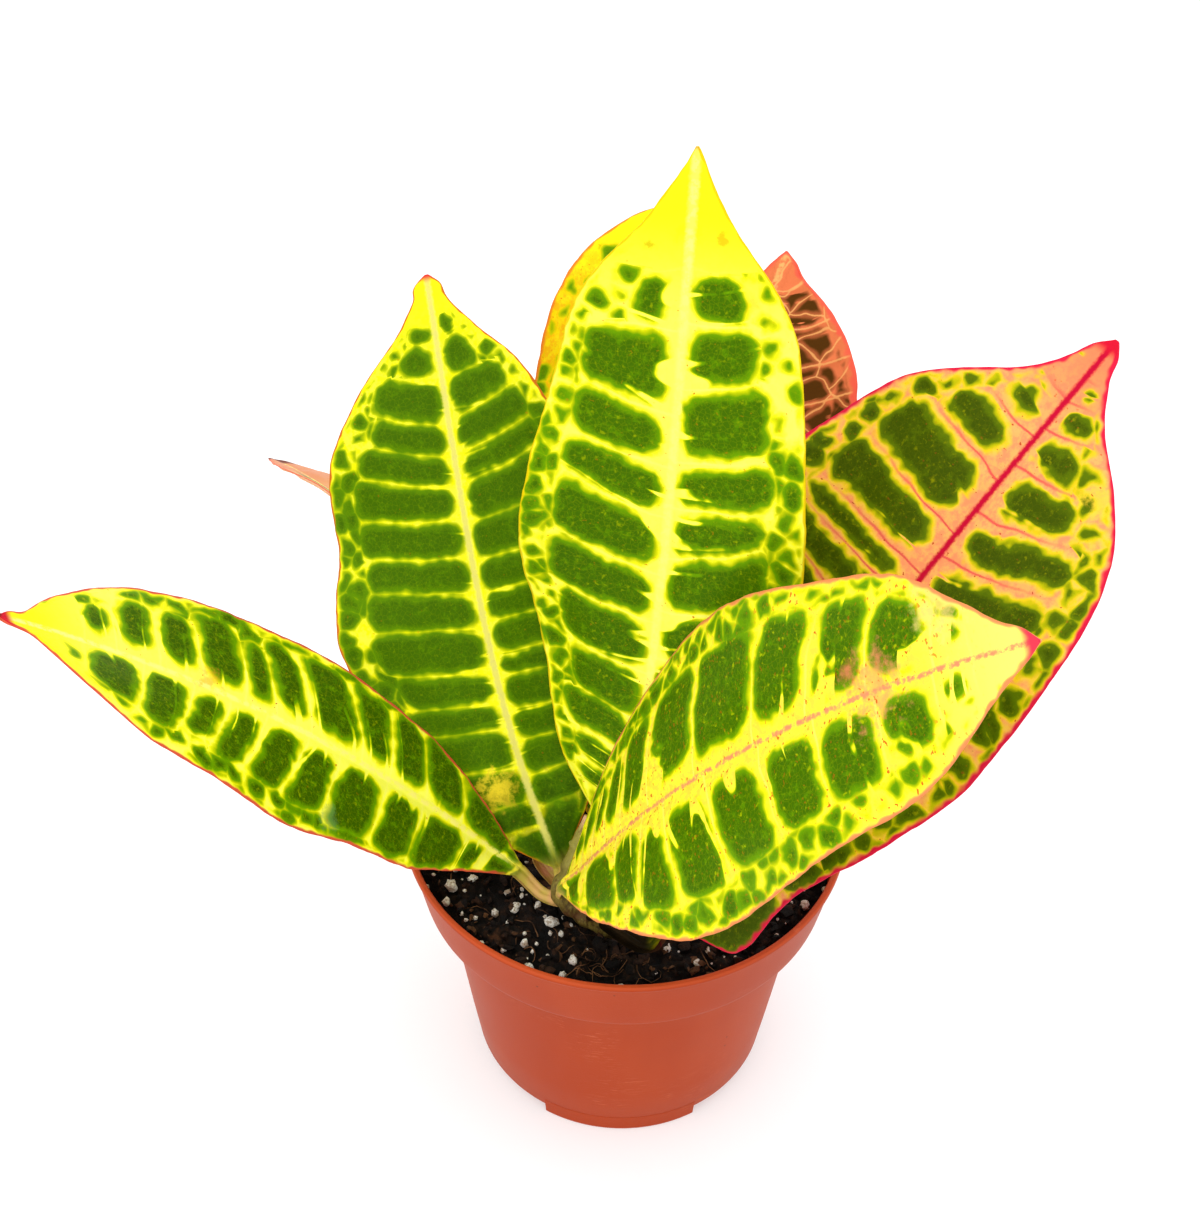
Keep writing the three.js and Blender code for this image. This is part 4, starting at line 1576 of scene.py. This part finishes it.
@dataclass
class Studio:
    """The pale floor, the soft light and the camera of the photograph."""

    pitch: float = 40.0
    roll: float = 0.83
    distance: float = 384.0
    aim: tuple[float, float] = (-6.6, 137.3)
    focal: float = 1800.0
    longest_side: int = 1217
    sensor: float = 36.0
    floor_size: float = 3.0
    floor_tones: tuple[Rgb, Rgb] = ((0.64, 0.65, 0.66), (0.68, 0.69, 0.7))
    sky: float = 0.97
    lamps: tuple[tuple[str, Place], ...] = (
        ("window", (-0.5, -0.45, 0.9)), ("top", (0.25, 0.1, 1.1)))
    lamp_aim: Place = (0, 0, 0.1)
    lamp_size: float = 0.9
    lamp_power: float = 1.4

    def camera(self, bench: Bench) -> None:
        """Sets the camera where the photograph was taken from.

        Args:
            bench: The pot's axis in the shared frame.
        """
        pitch, roll = math.radians(self.pitch), math.radians(self.roll)
        ahead = Vector((0, math.cos(pitch), -math.sin(pitch)))
        right = Vector((1, 0, 0))
        up = right.cross(ahead)
        rolled_right = right * math.cos(roll) + up * math.sin(roll)
        rolled_up = up * math.cos(roll) - right * math.sin(roll)
        place = Vector((self.aim[0], 0, self.aim[1])) - ahead * self.distance
        matrix = Matrix((rolled_right, rolled_up, -ahead)).transposed().to_4x4()
        matrix.translation = place * MM + bench.axis
        data = bpy.data.cameras.new("photo_view")
        data.sensor_width = self.sensor
        data.lens = self.sensor * self.focal / self.longest_side
        data.clip_start = 0.01
        camera = shown("photo_view", data)
        camera.matrix_world = matrix
        bpy.context.scene.camera = camera

    def floor(self) -> None:
        """Lays a wide white floor under the pot."""
        bm = bmesh.new()
        bmesh.ops.create_grid(bm, x_segments=1, y_segments=1, size=self.floor_size)
        mesh = meshed("floor", bm)
        g = Graph("white_floor")
        tone = g.blend(g.cloud(g.place(), 2.0), *self.floor_tones)
        mesh.materials.append(g.finish(tone, 0.9, gloss=0.05, glow=0.33))
        floor = shown("floor", mesh)

    def light(self) -> None:
        """Surrounds the plant with soft white light, a little stronger from above."""
        world = bpy.data.worlds.new("white_room")
        world.use_nodes = True
        back = world.node_tree.nodes["Background"]
        back.inputs["Color"].default_value = (1.0, 1.0, 1.0, 1.0)
        back.inputs["Strength"].default_value = self.sky
        bpy.context.scene.world = world
        for name, place in self.lamps:
            data = bpy.data.lights.new(name, "AREA")
            data.shape = "DISK"
            data.size = self.lamp_size
            data.energy = self.lamp_power
            lamp = shown(name, data)
            lamp.location = place
            aim = Vector(self.lamp_aim) - Vector(place)
            lamp.rotation_euler = aim.to_track_quat("-Z", "Y").to_euler()
        view = bpy.context.scene.view_settings
        view.view_transform = "Standard"
        view.look = "Medium High Contrast"
        view.exposure = 0.0


# ------------------------------------------------------------------ the eight leaves


def even_laterals(first: float, last: float, count: int, lean: float) -> Laterals:
    """Sets laterals at even steps, for a leaf whose own can't be seen.

    Args:
        first: The share of the blade's length at the first.
        last: The share at the last.
        count: How many there are.
        lean: How much further on they lie at three quarters of the half blade.

    Returns:
        The laterals of one half blade.
    """
    steps = [first + (last - first) * i / (count - 1) for i in range(count)]
    return ((-0.05, -0.05, 0.15, 0.78), *(
        (step, step + lean * math.sin(math.pi * min(step, 0.95)), 0.12, 0.78)
        for step in steps))


LEAVES = (
    Leaf(
        "leaf_low_left", "leaf_green_yellow", stem_height=77, foot=(-24, -23.5, 80.5),
        azimuth=182, elevation=51, length=134, bend=-12, sweep=27, roll=-33, twist=32, fold=9,
        curl=11, lopsided=0.08, wave=0.6, waves=3, phase=30,
        half_widths=(7.5, 14.5, 18.5, 22.5, 22, 18, 8, 3.4, 2.0),
        left=(
            (-.05, -.05, .16, .97), (.075, .085, .16, .97), (.12, .13, .14, .96),
            (.225, .235, .14, .93), (.305, .325, .15, .88), (.405, .43, .14, .8),
            (.468, .527, .14, .77), (.548, .612, .12, .78), (.613, .68, .12, .66),
            (.682, .737, .12, .77), (.768, .803, .12, .74), (.863, .885, .3, .7)),
        right=(
            (-.05, -.05, .16, .98), (.145, .17, .14, .97), (.225, .256, .14, .95),
            (.302, .328, .15, .92), (.357, .408, .14, .88), (.464, .505, .14, .86),
            (.53, .567, .12, .72), (.586, .607, .13, .84), (.661, .69, .16, .73),
            (.741, .75, .2, .76), (.81, .815, .22, .66), (.861, .865, .9, .9)),
        paint=LeafPaint(
            band=(0.6, 1.25), cell=5.2, cell_band=0.2, cell_round=0.64, margin_gap=0.1,
            edge=shade(214, 96, 70), edge_width=0.6, clear_from=0.9, specks=0.04, seed=1.3,
            rib=shade(255, 244, 140), point=shade(206, 30, 50), point_from=0.975,
            deep=shade(68, 100, 0), streaks=0.24,
            tint_and_shade_patches=(TintAndShadePatch(.42, .72, 3.6, shade(104, 140, 96), 0.5),
                     TintAndShadePatch(.66, -.06, 4.0, shade(226, 140, 60), 0.45)))),
    Leaf(
        "leaf_mid_left", "leaf_green", stem_height=79.5, foot=(-15, -21.5, 80), azimuth=132,
        elevation=52, length=135, bend=-1, sweep=-27, ease=3, roll=-32, twist=-2, fold=11,
        curl=9, wave=3, waves=3.5, phase=-180,
        half_widths=(13.5, 24.5, 32, 32.5, 29.5, 20.5, 7, 4.2, 3.0),
        left=(
            (-.05, -.05, .08, .8), (.075, .08, .08, .8), (.12, .125, .06, .8),
            (.178, .195, .06, .78), (.243, .26, .06, .76), (.286, .307, .06, .72),
            (.337, .368, .06, .78), (.412, .437, .05, .77), (.472, .502, .05, .76),
            (.53, .552, .05, .8), (.592, .614, .06, .8), (.645, .682, .06, .76),
            (.695, .737, .06, .68), (.745, .782, .06, .76), (.82, .843, .1, .55),
            (.876, .89, .12, .62), (.91, .915, .9, .9)),
        right=(
            (-.05, -.05, .08, .8), (.107, .11, .07, .8), (.16, .17, .06, .8),
            (.22, .222, .06, .8), (.27, .275, .06, .8), (.33, .333, .06, .8),
            (.365, .377, .06, .8), (.42, .432, .06, .8), (.468, .482, .06, .8),
            (.52, .542, .06, .8), (.584, .612, .07, .8), (.648, .69, .08, .8),
            (.697, .735, .08, .8), (.754, .792, .09, .76), (.82, .838, .12, .56),
            (.882, .9, .2, .55), (.925, .93, .9, .9)),
        paint=LeafPaint(
            band=(0.5, 0.7), corner=2.6, cell_band=0.2, cell_round=0.6, margin_gap=0.2,
            edge=shade(206, 116, 36), clear_from=0.925, specks=0.01, streaks=0.12, spots=0.0,
            wobble=0.5, seed=2.6, vein=YELLOW, vein_line=YELLOW, halo=shade(232, 230, 6),
            rim=shade(160, 180, 4), light=shade(98, 138, 0), deep=shade(74, 110, 0),
            rib=shade(224, 216, 120), rib_line=0.95, rib_whole=0.9,
            tint_and_shade_patches=(TintAndShadePatch(.152, .28, 5.5, shade(250, 222, 60), 0.8),
                     # Painted shadow: dark green over the foot of the blade, where the leaf above
                     # shades it.
                     TintAndShadePatch(.0, .0, 24.0, shade(40, 64, 0), 0.45)))),
    Leaf(
        "leaf_tall_centre", "leaf_yellow", stem_height=83, foot=(-2.5, -24.5, 88), azimuth=42,
        elevation=74, length=159, bend=10, sweep=31, ease=2.5, roll=2, twist=1, curl=9, wave=3,
        phase=-80, half_widths=(15.5, 22.5, 28.5, 29, 25, 18.5, 6.5, 3.6, 1.6),
        left=(
            (-.05, -.05, .3, .8), (.075, .085, .2, .78), (.11, .125, .18, .72),
            (.155, .175, .14, .82), (.212, .236, .08, .7), (.287, .316, .08, .74),
            (.366, .4, .07, .8), (.44, .486, .08, .77), (.522, .572, .08, .78),
            (.595, .626, .12, .77), (.661, .695, .12, .79), (.772, .783, .2, .46),
            (.848, .85, .9, .9)),
        right=(
            (-.05, -.05, .2, .78), (.13, .17, .1, .76), (.19, .24, .08, .76),
            (.25, .31, .07, .76), (.315, .375, .07, .76), (.39, .43, .07, .75),
            (.466, .526, .07, .72), (.54, .57, .07, .77), (.605, .636, .07, .72),
            (.7, .735, .08, .65), (.785, .8, .1, .6), (.85, .86, .9, .9)),
        paint=LeafPaint(
            band=(0.9, 1.4), cell=4.6, cell_band=0.4, corner=3.4, clear_from=0.87, specks=0.3,
            speck=shade(214, 130, 20), edge=shade(236, 206, 20), edge_width=0.4, rib_line=1.1,
            rib_whole=0.6, streaks=0.4, seed=3.9, point=shade(200, 90, 20), point_from=0.992,
            tint_and_shade_patches=(TintAndShadePatch(.885, .3, 1.6, shade(206, 176, 0), 0.7),
                     TintAndShadePatch(.9, -.26, 1.8, shade(222, 160, 10), 0.6),
                     TintAndShadePatch(.83, -.55, 2.6, shade(236, 176, 20), 0.4),
                     TintAndShadePatch(.9, .02, 3.0, shade(246, 226, 20), 0.5)))),
    Leaf(
        "leaf_front_right", "leaf_yellow_spotted", stem_height=78.5, foot=(-14, -31.5, 83.5),
        azimuth=-37, elevation=64, length=152, bend=-23, sweep=3, roll=36, twist=24, fold=6,
        curl=13, wave=1.6, phase=-140,
        half_widths=(12.5, 21.5, 30, 28.5, 23.5, 17.5, 7.5, 4.4, 2.2),
        left=(
            (-.05, -.05, .3, .8), (.07, .1, .3, .74), (.11, .15, .28, .7),
            (.155, .19, .2, .72), (.205, .24, .15, .72), (.285, .325, .14, .73),
            (.41, .45, .12, .74), (.54, .594, .13, .78), (.645, .694, .12, .8),
            (.75, .785, .14, .74), (.855, .87, .35, .6), (.905, .91, .9, .9)),
        right=(
            (-.05, -.05, .12, .8), (.1, .1, .12, .8), (.193, .21, .13, .74),
            (.271, .274, .2, .78), (.33, .37, .15, .76), (.436, .477, .14, .73),
            (.549, .588, .13, .7), (.66, .675, .14, .7), (.763, .77, .12, .64),
            (.85, .86, .16, .46), (.905, .91, .9, .9)),
        paint=LeafPaint(
            band=(1.0, 1.6), cell=4.8, cell_band=0.35, corner=3.4, clear_from=0.915, specks=0.8,
            speck=shade(214, 96, 30), spots=0.7, tinge=shade(246, 176, 84), tinged=0.42,
            rib=shade(232, 150, 110), rib_line=0.6, edge=shade(238, 150, 96), edge_width=0.7,
            streaks=0.75, seed=5.2, tip=shade(255, 250, 120), point=shade(226, 70, 90),
            point_from=0.975, vein=shade(255, 246, 70),
            tint_and_shade_patches=(TintAndShadePatch(.885, .42, 7.0, shade(238, 206, 130), 0.6),
                     TintAndShadePatch(.77, .02, 8.0, shade(244, 150, 112), 0.6),
                     TintAndShadePatch(.74, .2, 4.0, shade(236, 130, 96), 0.3)))),
    Leaf(
        "leaf_far_right", "leaf_salmon", stem_height=72.5, foot=(6.5, -38, 74.5), azimuth=14,
        elevation=66, length=161.3, bend=-21, sweep=17, roll=18, twist=-11, fold=12, curl=8,
        lopsided=0.02, wave=2.4, waves=3, phase=110, waist=0.58,
        half_widths=(19, 23, 32.5, 38.5, 38, 27, 8, 4.6, 2.6),
        left=(
            (-.05, -.05, .1, .8), (.12, .135, .1, .8), (.18, .2, .1, .8), (.24, .262, .1, .8),
            (.3, .325, .1, .8), (.365, .39, .1, .8), (.425, .45, .1, .8), (.485, .51, .1, .78),
            (.545, .568, .1, .78), (.6, .615, .12, .78), (.64, .652, .12, .79),
            (.702, .726, .12, .79), (.787, .812, .16, .7), (.848, .865, .18, .64),
            (.905, .915, .9, .9)),
        right=(
            (-.05, -.05, .02, .98), (.2, .23, .05, .97), (.26, .3, .08, .84),
            (.315, .36, .1, .78), (.375, .42, .1, .77), (.44, .487, .1, .77),
            (.5, .55, .1, .77), (.56, .613, .1, .77), (.615, .665, .1, .77),
            (.672, .726, .1, .78), (.74, .784, .12, .65), (.81, .832, .1, .58),
            (.866, .88, .15, .78), (.905, .912, .25, .8), (.935, .94, .9, .9)),
        paint=LeafPaint(
            band=(0.4, 1.7), corner=3.4, cell=5.0, cell_band=0.25, cell_round=0.52,
            margin_gap=0.2, clear_from=0.945, vein=shade(252, 158, 112),
            vein_line=shade(226, 66, 84), line_strength=0.8, rib_whole=1.0,
            # The petiole's dark brown is partly its own colour and partly painted shade from the
            # leaves over it.
            halo=shade(250, 208, 40), stalk=(shade(38, 30, 16), shade(56, 42, 24)),
            tinge=shade(255, 206, 110), tinged=0.5, net=0.04, rim=shade(190, 188, 10),
            light=shade(102, 124, 6), deep=shade(74, 92, 3), rib=shade(200, 20, 62),
            rib_line=0.9, edge=shade(222, 40, 76), edge_width=1.0, tip=shade(250, 140, 100),
            point=shade(216, 30, 60), point_from=0.975, specks=0.3, speck=shade(190, 80, 40),
            streaks=0.25, wobble=0.7, seed=6.5, under_vein=shade(226, 140, 110),
            under_line=shade(214, 60, 90), under_blotch=shade(110, 84, 50),
            tint_and_shade_patches=(TintAndShadePatch(.845, -.82, 4.0, shade(255, 214, 70), 0.7),))),
    Leaf(
        "leaf_back_upright", "leaf_golden", stem_height=83.5, foot=(-6, -14, 85.5), azimuth=88,
        elevation=36, length=143, bend=24, sweep=-14, roll=2, twist=-5, lopsided=0.02, wave=4,
        phase=-70, half_widths=(10, 18, 24.5, 27, 25.5, 22.5, 15, 10.5, 5.2),
        left=even_laterals(0.06, 0.93, 14, 0.05), right=even_laterals(0.05, 0.92, 14, 0.05),
        paint=LeafPaint(
            band=(1.2, 2.2), cell=5.0, cell_band=0.9, cell_round=0.36, clear_from=0.93,
            halo=shade(255, 222, 14), vein=shade(255, 226, 30), vein_line=YELLOW,
            edge=shade(240, 140, 50), edge_width=0.8, specks=0.3, speck=shade(232, 140, 10),
            seed=7.8, tinge=shade(250, 170, 30), tinged=0.6)),
    Leaf(
        "leaf_back_turned", "leaf_bronze", stem_height=88, foot=(-5, -16.5, 90.5), azimuth=59,
        elevation=61, length=133, bend=-26, sweep=9, roll=169, twist=0, lopsided=0.1, wave=0.6,
        phase=30, half_widths=(8.5, 16, 23, 26.5, 25, 21, 10, 5.0, 2.4),
        left=even_laterals(0.06, 0.92, 13, 0.07), right=even_laterals(0.05, 0.92, 13, 0.07),
        paint=LeafPaint(
            band=(0.5, 0.8), cell=6.6, cell_band=0.2, cell_round=0.75, clear_from=0.93,
            edge=shade(236, 104, 84), edge_width=1.4, seed=9.1, wobble=0.8,
            under_vein=shade(226, 128, 84), under_line=shade(240, 176, 112),
            under_blotch=shade(92, 58, 14), under_net=7.0)),
    Leaf(
        "leaf_back_left", "leaf_tan", stem_height=75, foot=(-19.5, -16, 77.5), azimuth=110,
        elevation=43, length=133, bend=-50, sweep=31, roll=64, twist=-28, lopsided=-0.14, wave=2,
        phase=60, half_widths=(6, 11, 16, 18.5, 18, 15.5, 10, 6.5, 3.2),
        left=even_laterals(0.06, 0.92, 13, 0.06), right=even_laterals(0.05, 0.92, 13, 0.06),
        paint=LeafPaint(
            band=(0.9, 1.3), cell=3.8, edge=shade(226, 130, 100), edge_width=0.8, seed=10.4,
            vein=shade(240, 190, 130), vein_line=shade(246, 210, 150), halo=shade(230, 180, 96),
            rim=shade(204, 168, 84), light=shade(164, 150, 84), deep=shade(132, 126, 70),
            tip=shade(220, 150, 110), point=shade(120, 56, 34), point_from=0.96,
            clear_from=0.85, specks=0.2, under_vein=shade(238, 178, 140),
            under_line=shade(244, 196, 150), under_blotch=shade(160, 140, 80))),
)

# The place on the soil and the radius of every white grain that the photograph shows.
GRAIN_SPOTS = (
    (-39.7, -19.1, 1.6), (-40.6, -23.2, 1.2), (-19.8, -23.7, 1.0), (-16.6, -28.6, 1.7),
    (-16.7, -32.0, 0.7), (-14.3, -32.4, 0.9), (-5.0, -31.0, 1.4), (-7.4, -30.3, 0.9),
    (-23.5, -21.4, 0.7), (-27.1, -37.2, 0.7), (-19.7, -34.5, 0.6), (-13.7, -42.9, 1.0),
    (-21.7, -40.8, 0.9), (-31.8, -34.7, 0.7), (9.4, -36.6, 1.0), (16.0, -39.6, 1.0),
    (6.6, -42.2, 0.7), (46.1, -17.5, 0.9), (38.0, -30.2, 0.6), (41.0, -23.2, 1.3),
    (30.0, -35.7, 0.6), (-17.1, -38.1, 0.6), (-26.7, -29.4, 0.9), (-35.1, -16.3, 1.2),
    (-45.6, -18.2, 0.9), (-38.5, -28.9, 0.4), (-20.5, -36.7, 0.6))


def main() -> None:
    """Builds, dresses and lights the potted croton."""
    logging.basicConfig(level=logging.INFO, format="%(name)s: %(message)s")
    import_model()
    low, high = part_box("pot")
    bench = Bench(Vector(((low.x + high.x) / 2, (low.y + high.y) / 2, 0.0)))
    studio = Studio()
    studio.camera(bench)
    studio.floor()
    studio.light()

    pot = Pot()
    bench.piece("nursery_pot", pot.build(), pot.dress(), "pot")
    soil = Soil(marked_grains=GRAIN_SPOTS)
    bench.piece("soil_body", soil.build(), soil.dress(), "soil")
    bench.piece("soil_crumbs", soil.build_lumps(), soil.dress_lumps())
    bench.piece("white_grains", soil.build_grains(), soil.dress_grains())
    bench.piece("root_fibres", soil.build_fibres(), soil.dress_fibres())
    stem = Stem()
    bench.piece("stem_bark", stem.build(), stem.dress(), "stem")
    for leaf in LEAVES:
        bench.piece(f"{leaf.name}_blade", leaf.build(stem), leaf.dress(), leaf.name)

    log.info("%d triangles in all", sum(bench.triangles.values()))


if __name__ == "__main__":
    main()
